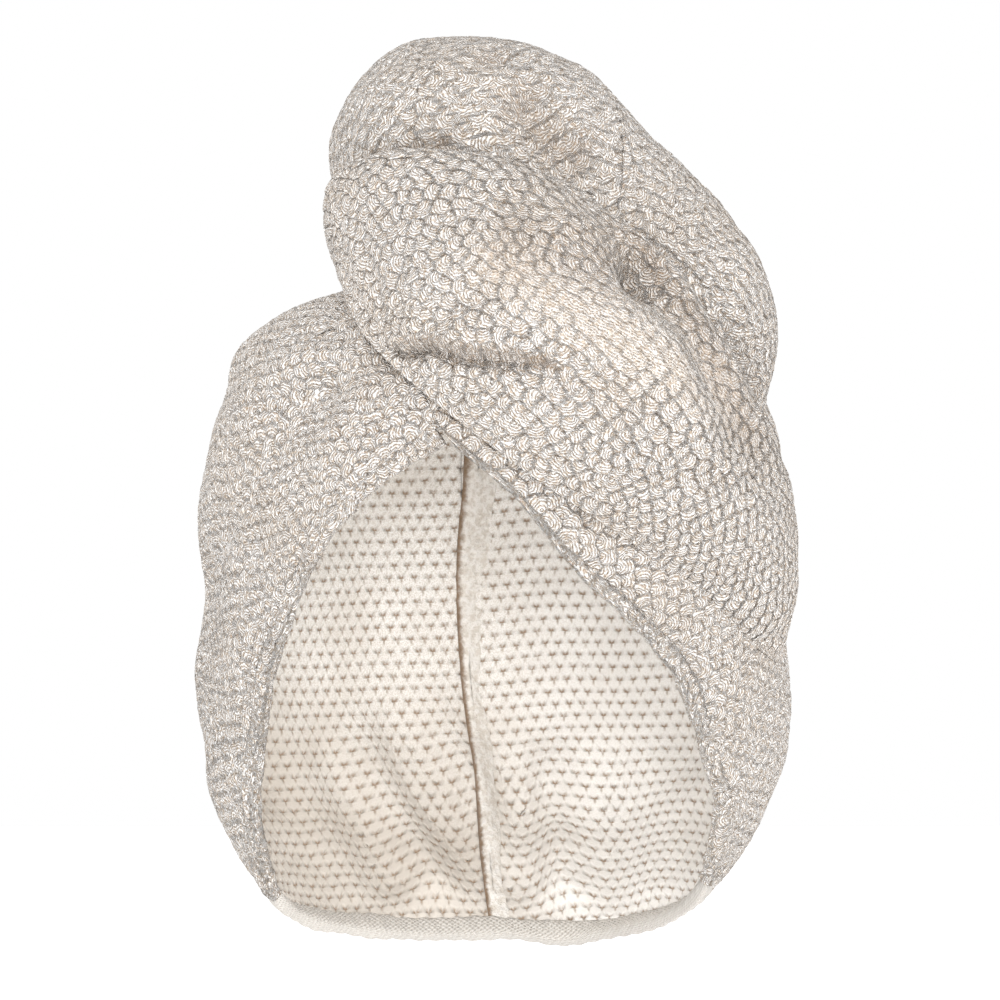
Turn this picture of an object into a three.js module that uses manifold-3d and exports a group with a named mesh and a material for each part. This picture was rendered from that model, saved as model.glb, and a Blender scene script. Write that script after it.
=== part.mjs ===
// A hair turban towel of thick waffle cloth, in the form it has when worn.
// Millimetres, +Z up, the face opening to -Y. The origin is the inside top of the hood, where it sits on the head.
// The hood is hollow and open at the face and nape. The cloth of its right side sweeps over the forehead to the
// upper left, and the twisted tail rolls from there over the crown and down the back to a button at the nape.
import * as THREE from "three";
import { mergeVertices } from "three/addons/utils/BufferGeometryUtils.js";
import Module from "manifold-3d";

// Driving dimensions
const HOOD_WIDTH = 210;
const HOOD_DEPTH = 224;
const HOOD_HEIGHT = 236;
const CLOTH = 3.6;
const HEM_WIDTH = 8;
const HEM_THICKNESS = 5.6;
const SEAM_WIDTH = 12;
const SEAM_THICKNESS = 3.2;
const SWEEP_RISE = 34;
const SWEEP_EDGE = 2.6;
const ROLL_RISE = 82;
const ROLL_EDGE = 1.6;
const TWIST_GROOVE = 7;
const BUTTON_RADIUS = 11;
const BUTTON_THICKNESS = 3.4;
const SHANK_RADIUS = 3;
const SHANK_LENGTH = 5;
const BUTTON_UP = 1.9;
const BUTTON_GAP = 0.5;
const LOOP_CORD_RADIUS = 1.4;
const LOOP_LENGTH = 17;
const LAYER_GAP = 1.5;
const HEM_GAP = 0.8;
const SEAM_CLEARANCE = 1.6;
const SEAM_GAP = 0.4;
const ROLL_CLEARANCE = 0.8;
const FINEST = 0.05;

// The form is worked out outwards from the heart, a point inside the head: every surface is a distance along a ray.
const HALF_WIDTH = HOOD_WIDTH / 2;
const HALF_DEPTH = HOOD_DEPTH / 2;
const HEART = new THREE.Vector3(0, 0, CLOTH - 0.27 * HOOD_HEIGHT);
const POLE = new THREE.Vector3(-0.1, 0.2, 0.97).normalize();
const RADIANS = Math.PI / 180;

const wasm = await Module();
wasm.setup();

/** A geometry as a solid that can be joined or cut. */
function solid(geometry) {
  const bare = geometry.clone();
  bare.deleteAttribute("normal");
  bare.deleteAttribute("uv");
  const merged = mergeVertices(bare, 1e-4);
  return new wasm.Manifold(
    new wasm.Mesh({
      numProp: 3,
      vertProperties: merged.attributes.position.array,
      triVerts: new Uint32Array(merged.index.array),
    }),
  );
}

/** A solid back as a geometry. */
function geometryOf(made) {
  const mesh = made.getMesh();
  return new THREE.BufferGeometry()
    .setAttribute("position", new THREE.BufferAttribute(new Float32Array(mesh.vertProperties), 3))
    .setIndex(new THREE.BufferAttribute(mesh.triVerts, 1));
}

/** A solid grown by a clearance on all sides: copies of it moved by that much each way, joined. */
function grown(made, clearance) {
  const ways = [];
  for (const x of [-1, 0, 1])
    for (const y of [-1, 0, 1])
      for (const z of [-1, 0, 1]) ways.push(new THREE.Vector3(x, y, z).normalize());
  return wasm.Manifold.union(ways.map((way) => made.translate(way.multiplyScalar(clearance).toArray())));
}

/** The largest body of a solid. */
function largest(made) {
  const bodies = made.decompose();
  return bodies.reduce((a, b) => (b.volume() > a.volume() ? b : a));
}

/** A table as a smooth function of its first column: returns the other columns by name. */
function table(columns, rows) {
  const names = columns.split(" ");
  const slope = (i, k) => {
    const a = rows[Math.max(i - 1, 0)];
    const b = rows[Math.min(i + 1, rows.length - 1)];
    return (b[k] - a[k]) / (b[0] - a[0]);
  };
  return (at) => {
    const x = Math.min(Math.max(at, rows[0][0]), rows[rows.length - 1][0]);
    const i = Math.min(rows.findLastIndex((row) => row[0] <= x), rows.length - 2);
    const span = rows[i + 1][0] - rows[i][0];
    const s = (x - rows[i][0]) / span;
    const found = {};
    for (let k = 1; k < names.length; k++)
      found[names[k]] =
        rows[i][k] * (1 + 2 * s) * (1 - s) ** 2 +
        slope(i, k) * span * s * (1 - s) ** 2 +
        rows[i + 1][k] * s * s * (3 - 2 * s) +
        slope(i + 1, k) * span * s * s * (s - 1);
    return found;
  };
}

/** Unit ray from the heart: bearing 0 is the front, 90 the right and 180 the back, and rise is up, in degrees. */
function ray(bearing, rise) {
  const b = bearing * RADIANS;
  const r = rise * RADIANS;
  return new THREE.Vector3(Math.sin(b) * Math.cos(r), -Math.cos(b) * Math.cos(r), Math.sin(r));
}

/** The ray a share of the way from one ray to another, along the arc between them. */
function between(a, b, share) {
  const angle = a.angleTo(b);
  if (angle < 1e-6) return a.clone();
  return a
    .clone()
    .multiplyScalar(Math.sin((1 - share) * angle))
    .addScaledVector(b, Math.sin(share * angle))
    .normalize();
}

const smoothstep = (x) => {
  const s = Math.min(Math.max(x, 0), 1);
  return s * s * (3 - 2 * s);
};

// Level sections of the hood. down is a share of its height below the crown, left and right of its half width,
// and middle, front and back of its half depth.
const sections = table("down left right middle front back", [
  [0, 0, 0, -0.03, 0, 0],
  [0.03, 0.24, 0.16, -0.03, 0.14, 0.14],
  [0.068, 0.52, 0.4, -0.03, 0.44, 0.4],
  [0.127, 0.76, 0.56, -0.02, 0.69, 0.64],
  [0.19, 0.84, 0.64, -0.01, 0.86, 0.79],
  [0.244, 0.92, 0.7, 0, 0.97, 0.88],
  [0.36, 0.99, 0.78, 0.045, 1.04, 0.93],
  [0.475, 0.97, 0.88, 0.11, 1.0, 0.92],
  [0.593, 1.02, 0.9, 0.19, 0.87, 0.84],
  [0.65, 1.0, 0.9, 0.23, 0.78, 0.78],
  [0.71, 0.97, 0.87, 0.255, 0.68, 0.7],
  [0.77, 0.95, 0.8, 0.27, 0.57, 0.59],
  [0.83, 0.85, 0.71, 0.285, 0.46, 0.49],
  [0.885, 0.73, 0.57, 0.285, 0.36, 0.39],
  [0.93, 0.6, 0.44, 0.285, 0.28, 0.31],
  [0.975, 0.45, 0.31, 0.285, 0.21, 0.24],
  [1, 0.37, 0.24, 0.285, 0.18, 0.21],
]);

// The edge of the cloth round the face and nape, from the forehead down the left side, round the nape and up the
// right side. turn is in degrees from the back, and down a share of the hood's height.
const edge = [
  [-170, 0.263],
  [-161, 0.301],
  [-148, 0.381],
  [-138, 0.479],
  [-131, 0.61],
  [-126, 0.703],
  [-121, 0.797],
  [-112, 0.886],
  [-98, 0.941],
  [-75, 0.975],
  [-45, 0.994],
  [0, 1],
  [45, 0.996],
  [72, 0.975],
  [93, 0.943],
  [109, 0.907],
  [119, 0.864],
  [125, 0.805],
  [134, 0.729],
  [142, 0.619],
  [154, 0.525],
  [165, 0.453],
  [177, 0.347],
  [190, 0.263],
];
const NAPE_ROW = 11;

// Soft folds of the hood: ridges and grooves between two rays, in degrees. width and height are shares of its half
// width.
const hoodFolds = [
  { name: "hem_ridge_left", from: [-24, 8], to: [-72, -36], width: 0.13, height: 0.06 },
  { name: "hem_groove_left", from: [-40, 12], to: [-80, -24], width: 0.1, height: -0.055 },
  { name: "cheek_dent_left", from: [-84, -22], to: [-98, -30], width: 0.1, height: -0.03 },
  { name: "cheek_dent_right", from: [78, -34], to: [100, -32], width: 0.12, height: -0.03 },
  { name: "gather_upper", from: [-28, 22], to: [-66, 10], width: 0.05, height: 0.025 },
  { name: "gather_lower", from: [-22, 14], to: [-52, -10], width: 0.05, height: 0.022 },
  { name: "back_fold_left", from: [-125, 40], to: [-150, -40], width: 0.09, height: -0.04 },
  { name: "back_ridge_left", from: [-105, 35], to: [-128, -45], width: 0.1, height: 0.035 },
  { name: "side_groove_left", from: [-78, 40], to: [-108, -28], width: 0.09, height: -0.03 },
  { name: "side_groove_right", from: [104, 10], to: [122, -42], width: 0.09, height: -0.04 },
  { name: "back_fold_right", from: [140, -10], to: [150, -48], width: 0.09, height: 0.035 },
];

/** Rise and fall of the hood's folds along a ray. */
function foldHeight(direction) {
  let height = 0;
  for (const fold of hoodFolds) {
    const a = ray(...fold.from);
    const line = ray(...fold.to).sub(a);
    const along = Math.min(Math.max(direction.clone().sub(a).dot(line) / line.lengthSq(), 0), 1);
    const away = direction.distanceTo(a.addScaledVector(line, along)) / fold.width;
    height += fold.height * HALF_WIDTH * Math.exp(-away * away) * Math.sin(Math.PI * (0.12 + 0.76 * along));
  }
  return height;
}

/** Point of the hood's level section at a height share and a turn from the back in degrees. */
function sectionPoint(down, turn) {
  const row = sections(down);
  const side = Math.sin(turn * RADIANS);
  const back = Math.cos(turn * RADIANS);
  return new THREE.Vector3(
    side * HALF_WIDTH * Math.sqrt(Math.max(side < 0 ? row.left : row.right, 0)),
    HALF_DEPTH * (row.middle + back * Math.sqrt(Math.max(back < 0 ? row.front : row.back, 0))),
    CLOTH - down * HOOD_HEIGHT,
  );
}

/** How far the hood's outside is from the heart along a ray. The sections hold squares, so the crown is round. */
function hoodReach(direction) {
  let near = 0.1 * HALF_WIDTH;
  let far = 2 * HOOD_HEIGHT;
  for (let i = 0; i < 36; i++) {
    const middle = (near + far) / 2;
    const p = HEART.clone().addScaledVector(direction, middle);
    const down = (CLOTH - p.z) / HOOD_HEIGHT;
    const row = sections(down);
    const y = p.y / HALF_DEPTH - row.middle;
    const across = (p.x / HALF_WIDTH) ** 2 / Math.max(p.x < 0 ? row.left : row.right, 1e-6);
    const deep = y ** 2 / Math.max(y < 0 ? row.front : row.back, 1e-6);
    if (down <= 0 || across + deep > 1) far = middle;
    else near = middle;
  }
  return (near + far) / 2 + foldHeight(direction);
}

/** A point, and the outward normal there, of the surface that reach gives for each ray. */
function surface(direction, reach) {
  const step = 0.01;
  const across = Math.abs(direction.z) < 0.9 ? new THREE.Vector3(0, 0, 1) : new THREE.Vector3(1, 0, 0);
  const first = across.cross(direction).normalize();
  const second = direction.clone().cross(first);
  const at = (e, k) => {
    const d = direction.clone().addScaledVector(e, k * step).normalize();
    return HEART.clone().addScaledVector(d, reach(d));
  };
  const normal = at(first, 1).sub(at(first, -1)).cross(at(second, 1).sub(at(second, -1))).normalize();
  return { point: at(first, 0), normal };
}

/** A closed solid between two grids of points, indexed [i][j], the first one outside. */
function solidBetween(outer, inner) {
  const ni = outer.length;
  const nj = outer[0].length;
  const points = [...outer.flat(), ...inner.flat()];
  const at = (i, j, layer) => layer * ni * nj + i * nj + j;
  const faces = [];
  const quad = (a, b, c, d) => faces.push(a, b, c, a, c, d);
  for (let i = 0; i < ni - 1; i++)
    for (let j = 0; j < nj - 1; j++) {
      quad(at(i, j, 0), at(i + 1, j, 0), at(i + 1, j + 1, 0), at(i, j + 1, 0));
      quad(at(i, j, 1), at(i, j + 1, 1), at(i + 1, j + 1, 1), at(i + 1, j, 1));
    }
  for (let i = 0; i < ni - 1; i++) {
    quad(at(i, 0, 0), at(i, 0, 1), at(i + 1, 0, 1), at(i + 1, 0, 0));
    quad(at(i, nj - 1, 0), at(i + 1, nj - 1, 0), at(i + 1, nj - 1, 1), at(i, nj - 1, 1));
  }
  for (let j = 0; j < nj - 1; j++) {
    quad(at(0, j, 0), at(0, j + 1, 0), at(0, j + 1, 1), at(0, j, 1));
    quad(at(ni - 1, j, 0), at(ni - 1, j, 1), at(ni - 1, j + 1, 1), at(ni - 1, j + 1, 0));
  }
  return closed(points, faces);
}

/** Geometry of the points and faces with shared points merged and collapsed faces left out. */
function closed(points, faces) {
  const raw = new THREE.BufferGeometry().setFromPoints(points).setIndex(faces);
  const merged = mergeVertices(raw, 1e-3);
  const kept = [];
  const index = merged.index.array;
  for (let i = 0; i < index.length; i += 3) {
    const [a, b, c] = [index[i], index[i + 1], index[i + 2]];
    if (a !== b && b !== c && c !== a) kept.push(a, b, c);
  }
  return merged.setIndex(kept);
}

/** A grid of points: make(u, v) with u and v from 0 to 1. */
function grid(nu, nv, make) {
  return Array.from({ length: nu + 1 }, (_, i) =>
    Array.from({ length: nv + 1 }, (_, j) => make(i / nu, j / nv)),
  );
}

/** The edge as rays at equal spacing: edgeRay(0) is the forehead's left side, and edgeRay(1) its right side. */
const edgeCurve = new THREE.CatmullRomCurve3(
  edge.map(([turn, down]) => sectionPoint(down, turn)),
  false,
  "centripetal",
);
edgeCurve.arcLengthDivisions = 400;
const edgeRay = (share) => edgeCurve.getPointAt(share).sub(HEART).normalize();
const NAPE_SHARE = (() => {
  const lengths = edgeCurve.getLengths();
  const at = (NAPE_ROW / (edge.length - 1)) * (lengths.length - 1);
  return lengths[Math.round(at)] / lengths[lengths.length - 1];
})();

/** The ray at a share round the edge and a share of the way from the pole down to it. The columns lean left over the
 * forehead, where the cloth is drawn to the twist. */
function hoodRay(round, down) {
  const front = Math.exp(-((Math.min(round, 1 - round) / 0.07) ** 2));
  const d = between(POLE, edgeRay(round), down);
  d.x -= 0.5 * front * down ** 2 * (1 - down) * 2;
  return d.normalize();
}

// Hood panels
const PANEL_COLUMNS = 28;
const PANEL_ROWS = 15;
const hemShare = (round) => HEM_WIDTH / (POLE.angleTo(edgeRay(round)) * hoodReach(edgeRay(round)));

/** One sewn half of the hood: a wall of the cloth's thickness, from the pole to the hem. */
function panel(from, to, shift) {
  const place = (u, v, inset) => {
    const round = from + (to - from) * u;
    const lowest = 1 - hemShare(round) * (1 + HEM_GAP / 2 / HEM_WIDTH);
    const { point, normal } = surface(hoodRay(round, lowest * v), hoodReach);
    point.addScaledVector(normal, -inset);
    point.x += shift;
    return point;
  };
  return solidBetween(
    grid(PANEL_COLUMNS, PANEL_ROWS, (u, v) => place(u, v, 0)),
    grid(PANEL_COLUMNS, PANEL_ROWS, (u, v) => place(u, v, CLOTH)),
  );
}

// The hem: the edge folded to the inside, one rounded band
const HEM_STEPS = 72;
const HEM_SIDES = 8;

function hem() {
  const section = (round) => {
    const down = 1 - hemShare(round) / 2;
    const { point, normal } = surface(hoodRay(round, down), hoodReach);
    const lower = surface(hoodRay(round, 1), hoodReach).point.sub(point).normalize();
    point.addScaledVector(normal, -CLOTH / 2);
    return { point, normal, lower };
  };
  const points = [];
  for (let i = 0; i <= HEM_STEPS; i++) {
    const { point, normal, lower } = section(0.003 + (0.994 * i) / HEM_STEPS);
    for (let k = 0; k < HEM_SIDES; k++) {
      const angle = ((k + 0.5) / HEM_SIDES) * 2 * Math.PI;
      const square = (x) => Math.sign(x) * Math.abs(x) ** 0.55;
      points.push(
        point
          .clone()
          .addScaledVector(lower, (square(Math.cos(angle)) * (HEM_WIDTH - HEM_GAP)) / 2)
          .addScaledVector(normal, (square(Math.sin(angle)) * HEM_THICKNESS) / 2),
      );
    }
  }
  return tube(points, HEM_STEPS, HEM_SIDES);
}

/** A closed tube from rings of points, with flat ends. */
function tube(points, steps, sides) {
  const faces = [];
  for (let i = 0; i < steps; i++)
    for (let k = 0; k < sides; k++) {
      const [a, b] = [i * sides + k, i * sides + ((k + 1) % sides)];
      faces.push(a, b, b + sides, a, b + sides, a + sides);
    }
  for (let k = 1; k < sides - 1; k++) {
    faces.push(0, k + 1, k);
    faces.push(steps * sides, steps * sides + k, steps * sides + k + 1);
  }
  return closed(points, faces);
}

// The seam allowance inside the back, pressed to the right at the top and standing on edge lower down. down is a share
// of the way from the pole to the edge, width and height are shares of the seam's sizes, and lean is a share of the
// width.
const seamRows = table("down width height lean", [
  [0.42, 1.3, 0.9, 0.6],
  [0.55, 1.3, 0.9, 0.6],
  [0.68, 0.95, 1, 0.25],
  [0.78, 0.6, 1.3, 0.1],
  [0.88, 0.55, 1.4, 0.1],
  [0.972, 0.6, 1.2, 0],
]);
const SEAM_TOP = 0.42;
const SEAM_FOOT = 0.972;
const SEAM_STEPS = 23;
const SEAM_SIDES = 8;

function backSeam() {
  const points = [];
  for (let i = 0; i <= SEAM_STEPS; i++) {
    const down = SEAM_FOOT + ((SEAM_TOP - SEAM_FOOT) * i) / SEAM_STEPS;
    const row = seamRows(down);
    const ridge = hoodRay(NAPE_SHARE, down);
    const across = hoodRay(NAPE_SHARE, down - 0.01).cross(ridge).normalize();
    for (let k = 0; k < SEAM_SIDES; k++) {
      const angle = ((k + 0.5) / SEAM_SIDES) * 2 * Math.PI;
      const aside = row.width * SEAM_WIDTH * (row.lean + Math.cos(angle) / 2);
      const d = ridge.clone().addScaledVector(across, -aside / hoodReach(ridge)).normalize();
      const { point, normal } = surface(d, hoodReach);
      const depth = (row.height * SEAM_THICKNESS * (1 - Math.sin(angle))) / 2;
      points.push(point.addScaledVector(normal, -CLOTH - SEAM_CLEARANCE - depth));
    }
  }
  return tube(points, SEAM_STEPS, SEAM_SIDES);
}

// The tail, rolled from the upper left over the crown and down the back. along is a share of its length, bearing and
// rise place its ridge and half its width on the rays, in degrees, and lift is a share of the roll's rise.
const rollRows = table("along bearing rise half lift", [
  [0, -82, 58, 12, 0.04],
  [0.04, -75, 61, 17, 0.36],
  [0.1, -66, 65, 24.5, 0.82],
  [0.18, -48, 75, 28.5, 1],
  [0.26, 60, 84, 29.5, 0.87],
  [0.34, 100, 67, 30, 0.66],
  [0.43, 109, 46, 29, 0.43],
  [0.53, 121, 23, 26, 0.25],
  [0.63, 131, 1, 23, 0.21],
  [0.73, 142, -17, 19, 0.22],
  [0.82, 155, -31, 15, 0.23],
  [0.9, 167, -41, 11, 0.22],
  [0.96, 175, -47.5, 7, 0.16],
  [1, 178.5, -51, 3.4, 0.04],
]);
const TWIST_TURNS = 5.5;
const TWIST_SLANT = 0.42;

/** The ray along the roll's ridge. Its table crosses the top of the head, so the ridge is smoothed on the rays. */
const rollCurve = new THREE.CatmullRomCurve3(
  Array.from({ length: 29 }, (_, i) => {
    const row = rollRows(i / 28);
    return ray(row.bearing, row.rise);
  }),
);

/** The roll's ridge at a share of its length: the ray, and the ray to its side. */
function ridgeAt(along) {
  const ridge = rollCurve.getPoint(along).normalize();
  const ahead = rollCurve.getTangent(along).normalize();
  return { ridge, side: ahead.cross(ridge).normalize() };
}

/** How far the roll stands out from the hood, at a share of its length and of its half width. */
function rollLift(along, across) {
  const row = rollRows(along);
  const w = Math.min(Math.abs(across), 1);
  const dome = (1 - w ** 2.3) ** 0.55;
  const phase = TWIST_TURNS * along - TWIST_SLANT * across;
  const groove = Math.abs(Math.sin(Math.PI * phase)) ** 0.5;
  const depth = TWIST_GROOVE * (1 - groove) * smoothstep(along / 0.3) * Math.min(row.lift * 4, 1);
  return Math.max(row.lift * ROLL_RISE * dome - depth * dome, 0);
}

const ROLL_STEPS = 46;
const ROLL_ACROSS = 16;

function crownRoll() {
  const out = (u, v, height) => {
    const { ridge, side } = ridgeAt(u);
    const angle = (1 - 2 * v) * rollRows(u).half * RADIANS;
    const d = ridge.multiplyScalar(Math.cos(angle)).addScaledVector(side, Math.sin(angle)).normalize();
    return HEART.clone().addScaledVector(d, hoodReach(d) + LAYER_GAP + height);
  };
  return solidBetween(
    grid(ROLL_STEPS, ROLL_ACROSS, (u, v) => out(u, v, Math.max(rollLift(u, 1 - 2 * v), ROLL_EDGE))),
    grid(ROLL_STEPS, ROLL_ACROSS, (u, v) => out(u, v, 0)),
  );
}

// The sweep of cloth from the right side over the forehead to the upper left. Each row is a section between a lower
// and an upper edge, in degrees of bearing and rise; the lifts are shares of the sweep's rise over the hood.
const sweepRows = table("along lowBearing lowRise highBearing highRise lowLift crest highLift", [
  [0, 68, -36, 88, -38, 0, 0.02, 0],
  [0.08, 54, -32, 92, -34, 0.01, 0.08, 0.03],
  [0.2, 32, -21, 91, -22, 0.03, 0.22, 0.12],
  [0.34, 10, -8, 84, -8, 0.06, 0.44, 0.14],
  [0.46, -4, 2, 65, 4, 0.08, 0.66, 0.18],
  [0.56, -17, 12, 48, 21, 0.1, 0.84, 0.4],
  [0.66, -27, 20, 35, 38, 0.12, 0.92, 0.85],
  [0.75, -36, 28, 18, 51, 0.16, 0.94, 1.2],
  [0.84, -46, 36, -14, 56, 0.2, 0.88, 1.25],
  [0.92, -59, 42, -42, 56, 0.2, 0.6, 1.1],
  [1, -74, 47, -66, 56, 0.1, 0.2, 0.6],
]);
const SWEEP_STEPS = 26;
const SWEEP_ACROSS = 16;
const CREST_AT = 0.52;

/** How far the sweep stands out from the hood: thin at its lower edge, fullest above the middle. */
function sweepLift(along, across) {
  const row = sweepRows(along);
  const bow = Math.sin(Math.PI * across ** (Math.log(0.5) / Math.log(CREST_AT))) ** 0.9;
  return SWEEP_RISE * (row.lowLift + (row.highLift - row.lowLift) * across + row.crest * bow);
}

function frontSweep() {
  const rayAt = (u, v) => {
    const row = sweepRows(u);
    return between(ray(row.lowBearing, row.lowRise), ray(row.highBearing, row.highRise), v);
  };
  const out = (u, v, height) => {
    const d = rayAt(u, v);
    return HEART.clone().addScaledVector(d, hoodReach(d) + LAYER_GAP + height);
  };
  const whole = solidBetween(
    grid(SWEEP_STEPS, SWEEP_ACROSS, (u, v) => out(u, v, Math.max(sweepLift(u, v), SWEEP_EDGE))).reverse(),
    grid(SWEEP_STEPS, SWEEP_ACROSS, (u, v) => out(u, v, 0)).reverse(),
  );
  const cut = solid(whole).subtract(grown(solid(crownRoll()), ROLL_CLEARANCE));
  return geometryOf(largest(solid(geometryOf(largest(cut.simplify(FINEST))))));
}

// The closure: a button on a shank at the nape, with the cord loop that holds the end of the tail
function napeButton() {
  const profile = [
    [0, 0],
    [SHANK_RADIUS, 0],
    [SHANK_RADIUS, SHANK_LENGTH],
    [BUTTON_RADIUS * 0.9, SHANK_LENGTH],
    [BUTTON_RADIUS, SHANK_LENGTH + BUTTON_THICKNESS * 0.35],
    [BUTTON_RADIUS * 0.92, SHANK_LENGTH + BUTTON_THICKNESS],
    [BUTTON_RADIUS * 0.6, SHANK_LENGTH + BUTTON_THICKNESS * 0.8],
    [0, SHANK_LENGTH + BUTTON_THICKNESS * 0.75],
  ].map(([x, y]) => new THREE.Vector2(x, y));
  const button = new THREE.LatheGeometry(profile, 20).rotateX(Math.PI / 2);
  const bend = SHANK_RADIUS + LOOP_CORD_RADIUS * 0.8;
  const height = SHANK_LENGTH / 2;
  const loopLine = new THREE.CatmullRomCurve3(
    [
      [-0.5 * LOOP_CORD_RADIUS - 0.8, LOOP_LENGTH],
      [-bend, LOOP_LENGTH * 0.45],
      [-bend, 0],
      [0, -bend],
      [bend, 0],
      [bend, LOOP_LENGTH * 0.45],
      [0.5 * LOOP_CORD_RADIUS + 0.8, LOOP_LENGTH],
    ].map(([x, y]) => new THREE.Vector3(x, y, height)),
  );
  const ring = new THREE.Shape().absarc(0, 0, LOOP_CORD_RADIUS, 0, 2 * Math.PI, false);
  const loop = new THREE.ExtrudeGeometry(ring, { steps: 18, curveSegments: 6, extrudePath: loopLine });
  return geometryOf(solid(button).add(solid(loop)));
}

/** Where the button stands: on the outside of the nape above the hem, its face out and its loop up. */
function placeAtNape(mesh) {
  const { point, normal } = surface(hoodRay(NAPE_SHARE, 1 - BUTTON_UP * hemShare(NAPE_SHARE)), hoodReach);
  point.addScaledVector(normal, BUTTON_GAP);
  const right = new THREE.Vector3(-1, 0, 0);
  const up = normal.clone().cross(right).normalize();
  mesh.quaternion.setFromRotationMatrix(new THREE.Matrix4().makeBasis(right, up, normal));
  mesh.position.copy(point);
}

const cloth = { color: new THREE.Color(0.69, 0.66, 0.61), roughness: 0.95, metalness: 0 };
const outside = new THREE.MeshStandardMaterial(cloth);
const folded = new THREE.MeshStandardMaterial({ ...cloth, color: new THREE.Color(0.79, 0.76, 0.71) });
const dark = new THREE.MeshStandardMaterial({ color: new THREE.Color(0.05, 0.045, 0.04), roughness: 0.5 });

const turban = new THREE.Group();

function addPiece(name, geometry, material) {
  const mesh = new THREE.Mesh(geometry, material);
  mesh.name = name;
  turban.add(mesh);
  return mesh;
}

addPiece("panel_left", panel(0, NAPE_SHARE, -SEAM_GAP / 2), outside);
addPiece("panel_right", panel(NAPE_SHARE, 1, SEAM_GAP / 2), outside);
addPiece("hem", hem(), folded);
addPiece("back_seam", backSeam(), folded);
addPiece("crown_roll", crownRoll(), outside);
addPiece("front_sweep", frontSweep(), outside);
placeAtNape(addPiece("nape_button", napeButton(), dark));

export default turban;
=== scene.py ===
"""The looks of a hair turban towel: thick heathered waffle cloth outside and a cream waffle lining inside.

The file is laid out as an add-on. Each operator makes one piece, or a group of like pieces, from the same
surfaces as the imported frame: every form is a distance from the heart, a point inside the head, along a ray.
"""

import math

import bmesh
import bpy
import numpy as np
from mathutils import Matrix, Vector
from mathutils.kdtree import KDTree


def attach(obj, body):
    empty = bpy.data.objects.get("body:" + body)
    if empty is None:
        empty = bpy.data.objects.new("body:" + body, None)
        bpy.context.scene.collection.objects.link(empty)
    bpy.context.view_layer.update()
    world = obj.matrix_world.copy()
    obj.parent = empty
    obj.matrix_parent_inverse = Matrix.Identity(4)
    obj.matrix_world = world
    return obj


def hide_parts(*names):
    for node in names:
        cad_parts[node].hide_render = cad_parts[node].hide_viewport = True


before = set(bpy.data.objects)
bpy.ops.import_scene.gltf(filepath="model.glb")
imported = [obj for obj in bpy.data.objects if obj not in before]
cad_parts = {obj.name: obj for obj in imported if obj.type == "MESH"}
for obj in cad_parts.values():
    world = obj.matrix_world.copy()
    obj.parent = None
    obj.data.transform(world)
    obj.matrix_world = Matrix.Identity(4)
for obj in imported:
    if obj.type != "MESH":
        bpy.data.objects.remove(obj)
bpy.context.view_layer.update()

bl_info = {
    "name": "Hair turban towel",
    "version": (1, 0, 0),
    "blender": (4, 5, 0),
    "location": "View3D > Sidebar > Turban",
    "description": "Makes the cloth, lining, hem and closure of a worn hair turban towel",
    "category": "Object",
}

MM = 0.001
BODY = "root"

# The hood's form, in millimetres. Lengths in the tables are shares of the sizes here.
HOOD_WIDTH = 210.0
HOOD_DEPTH = 224.0
HOOD_HEIGHT = 236.0
CLOTH = 3.6
HALF_WIDTH = HOOD_WIDTH / 2
HALF_DEPTH = HOOD_DEPTH / 2
HEART = np.array([0.0, 0.0, CLOTH - 0.27 * HOOD_HEIGHT])
POLE = np.array([-0.1, 0.2, 0.97]) / np.linalg.norm([-0.1, 0.2, 0.97])
HEM_WIDTH = 8.0
HEM_THICKNESS = 5.6
SEAM_WIDTH = 12.0
SEAM_THICKNESS = 3.2
SWEEP_RISE = 34.0
SWEEP_EDGE = 2.6
ROLL_RISE = 82.0
LAYER_GAP = 1.5


def hermite(a, b, slope_a, slope_b, s):
    """The smooth curve from a to b with those slopes at its ends, at a share s of the way."""
    return (
        a * (1 + 2 * s) * (1 - s) ** 2
        + slope_a * s * (1 - s) ** 2
        + b * s * s * (3 - 2 * s)
        + slope_b * s * s * (s - 1)
    )


class Table:
    """A table as smooth functions of its first column."""

    def __init__(self, columns, rows):
        self.names = columns.split()
        self.rows = np.array(rows, float)
        x = self.rows[:, 0]
        lower = np.maximum(np.arange(len(x)) - 1, 0)
        upper = np.minimum(np.arange(len(x)) + 1, len(x) - 1)
        self.slopes = (self.rows[upper] - self.rows[lower]) / (x[upper] - x[lower])[:, None]

    def __call__(self, at):
        x = self.rows[:, 0]
        at = np.clip(np.asarray(at, float), x[0], x[-1])
        i = np.clip(np.searchsorted(x, at, side="right") - 1, 0, len(x) - 2)
        span = x[i + 1] - x[i]
        s = (at - x[i]) / span
        found = {}
        for k, name in enumerate(self.names[1:], 1):
            row, slope = self.rows[:, k], self.slopes[:, k]
            found[name] = hermite(row[i], row[i + 1], slope[i] * span, slope[i + 1] * span, s)
        return found


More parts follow.
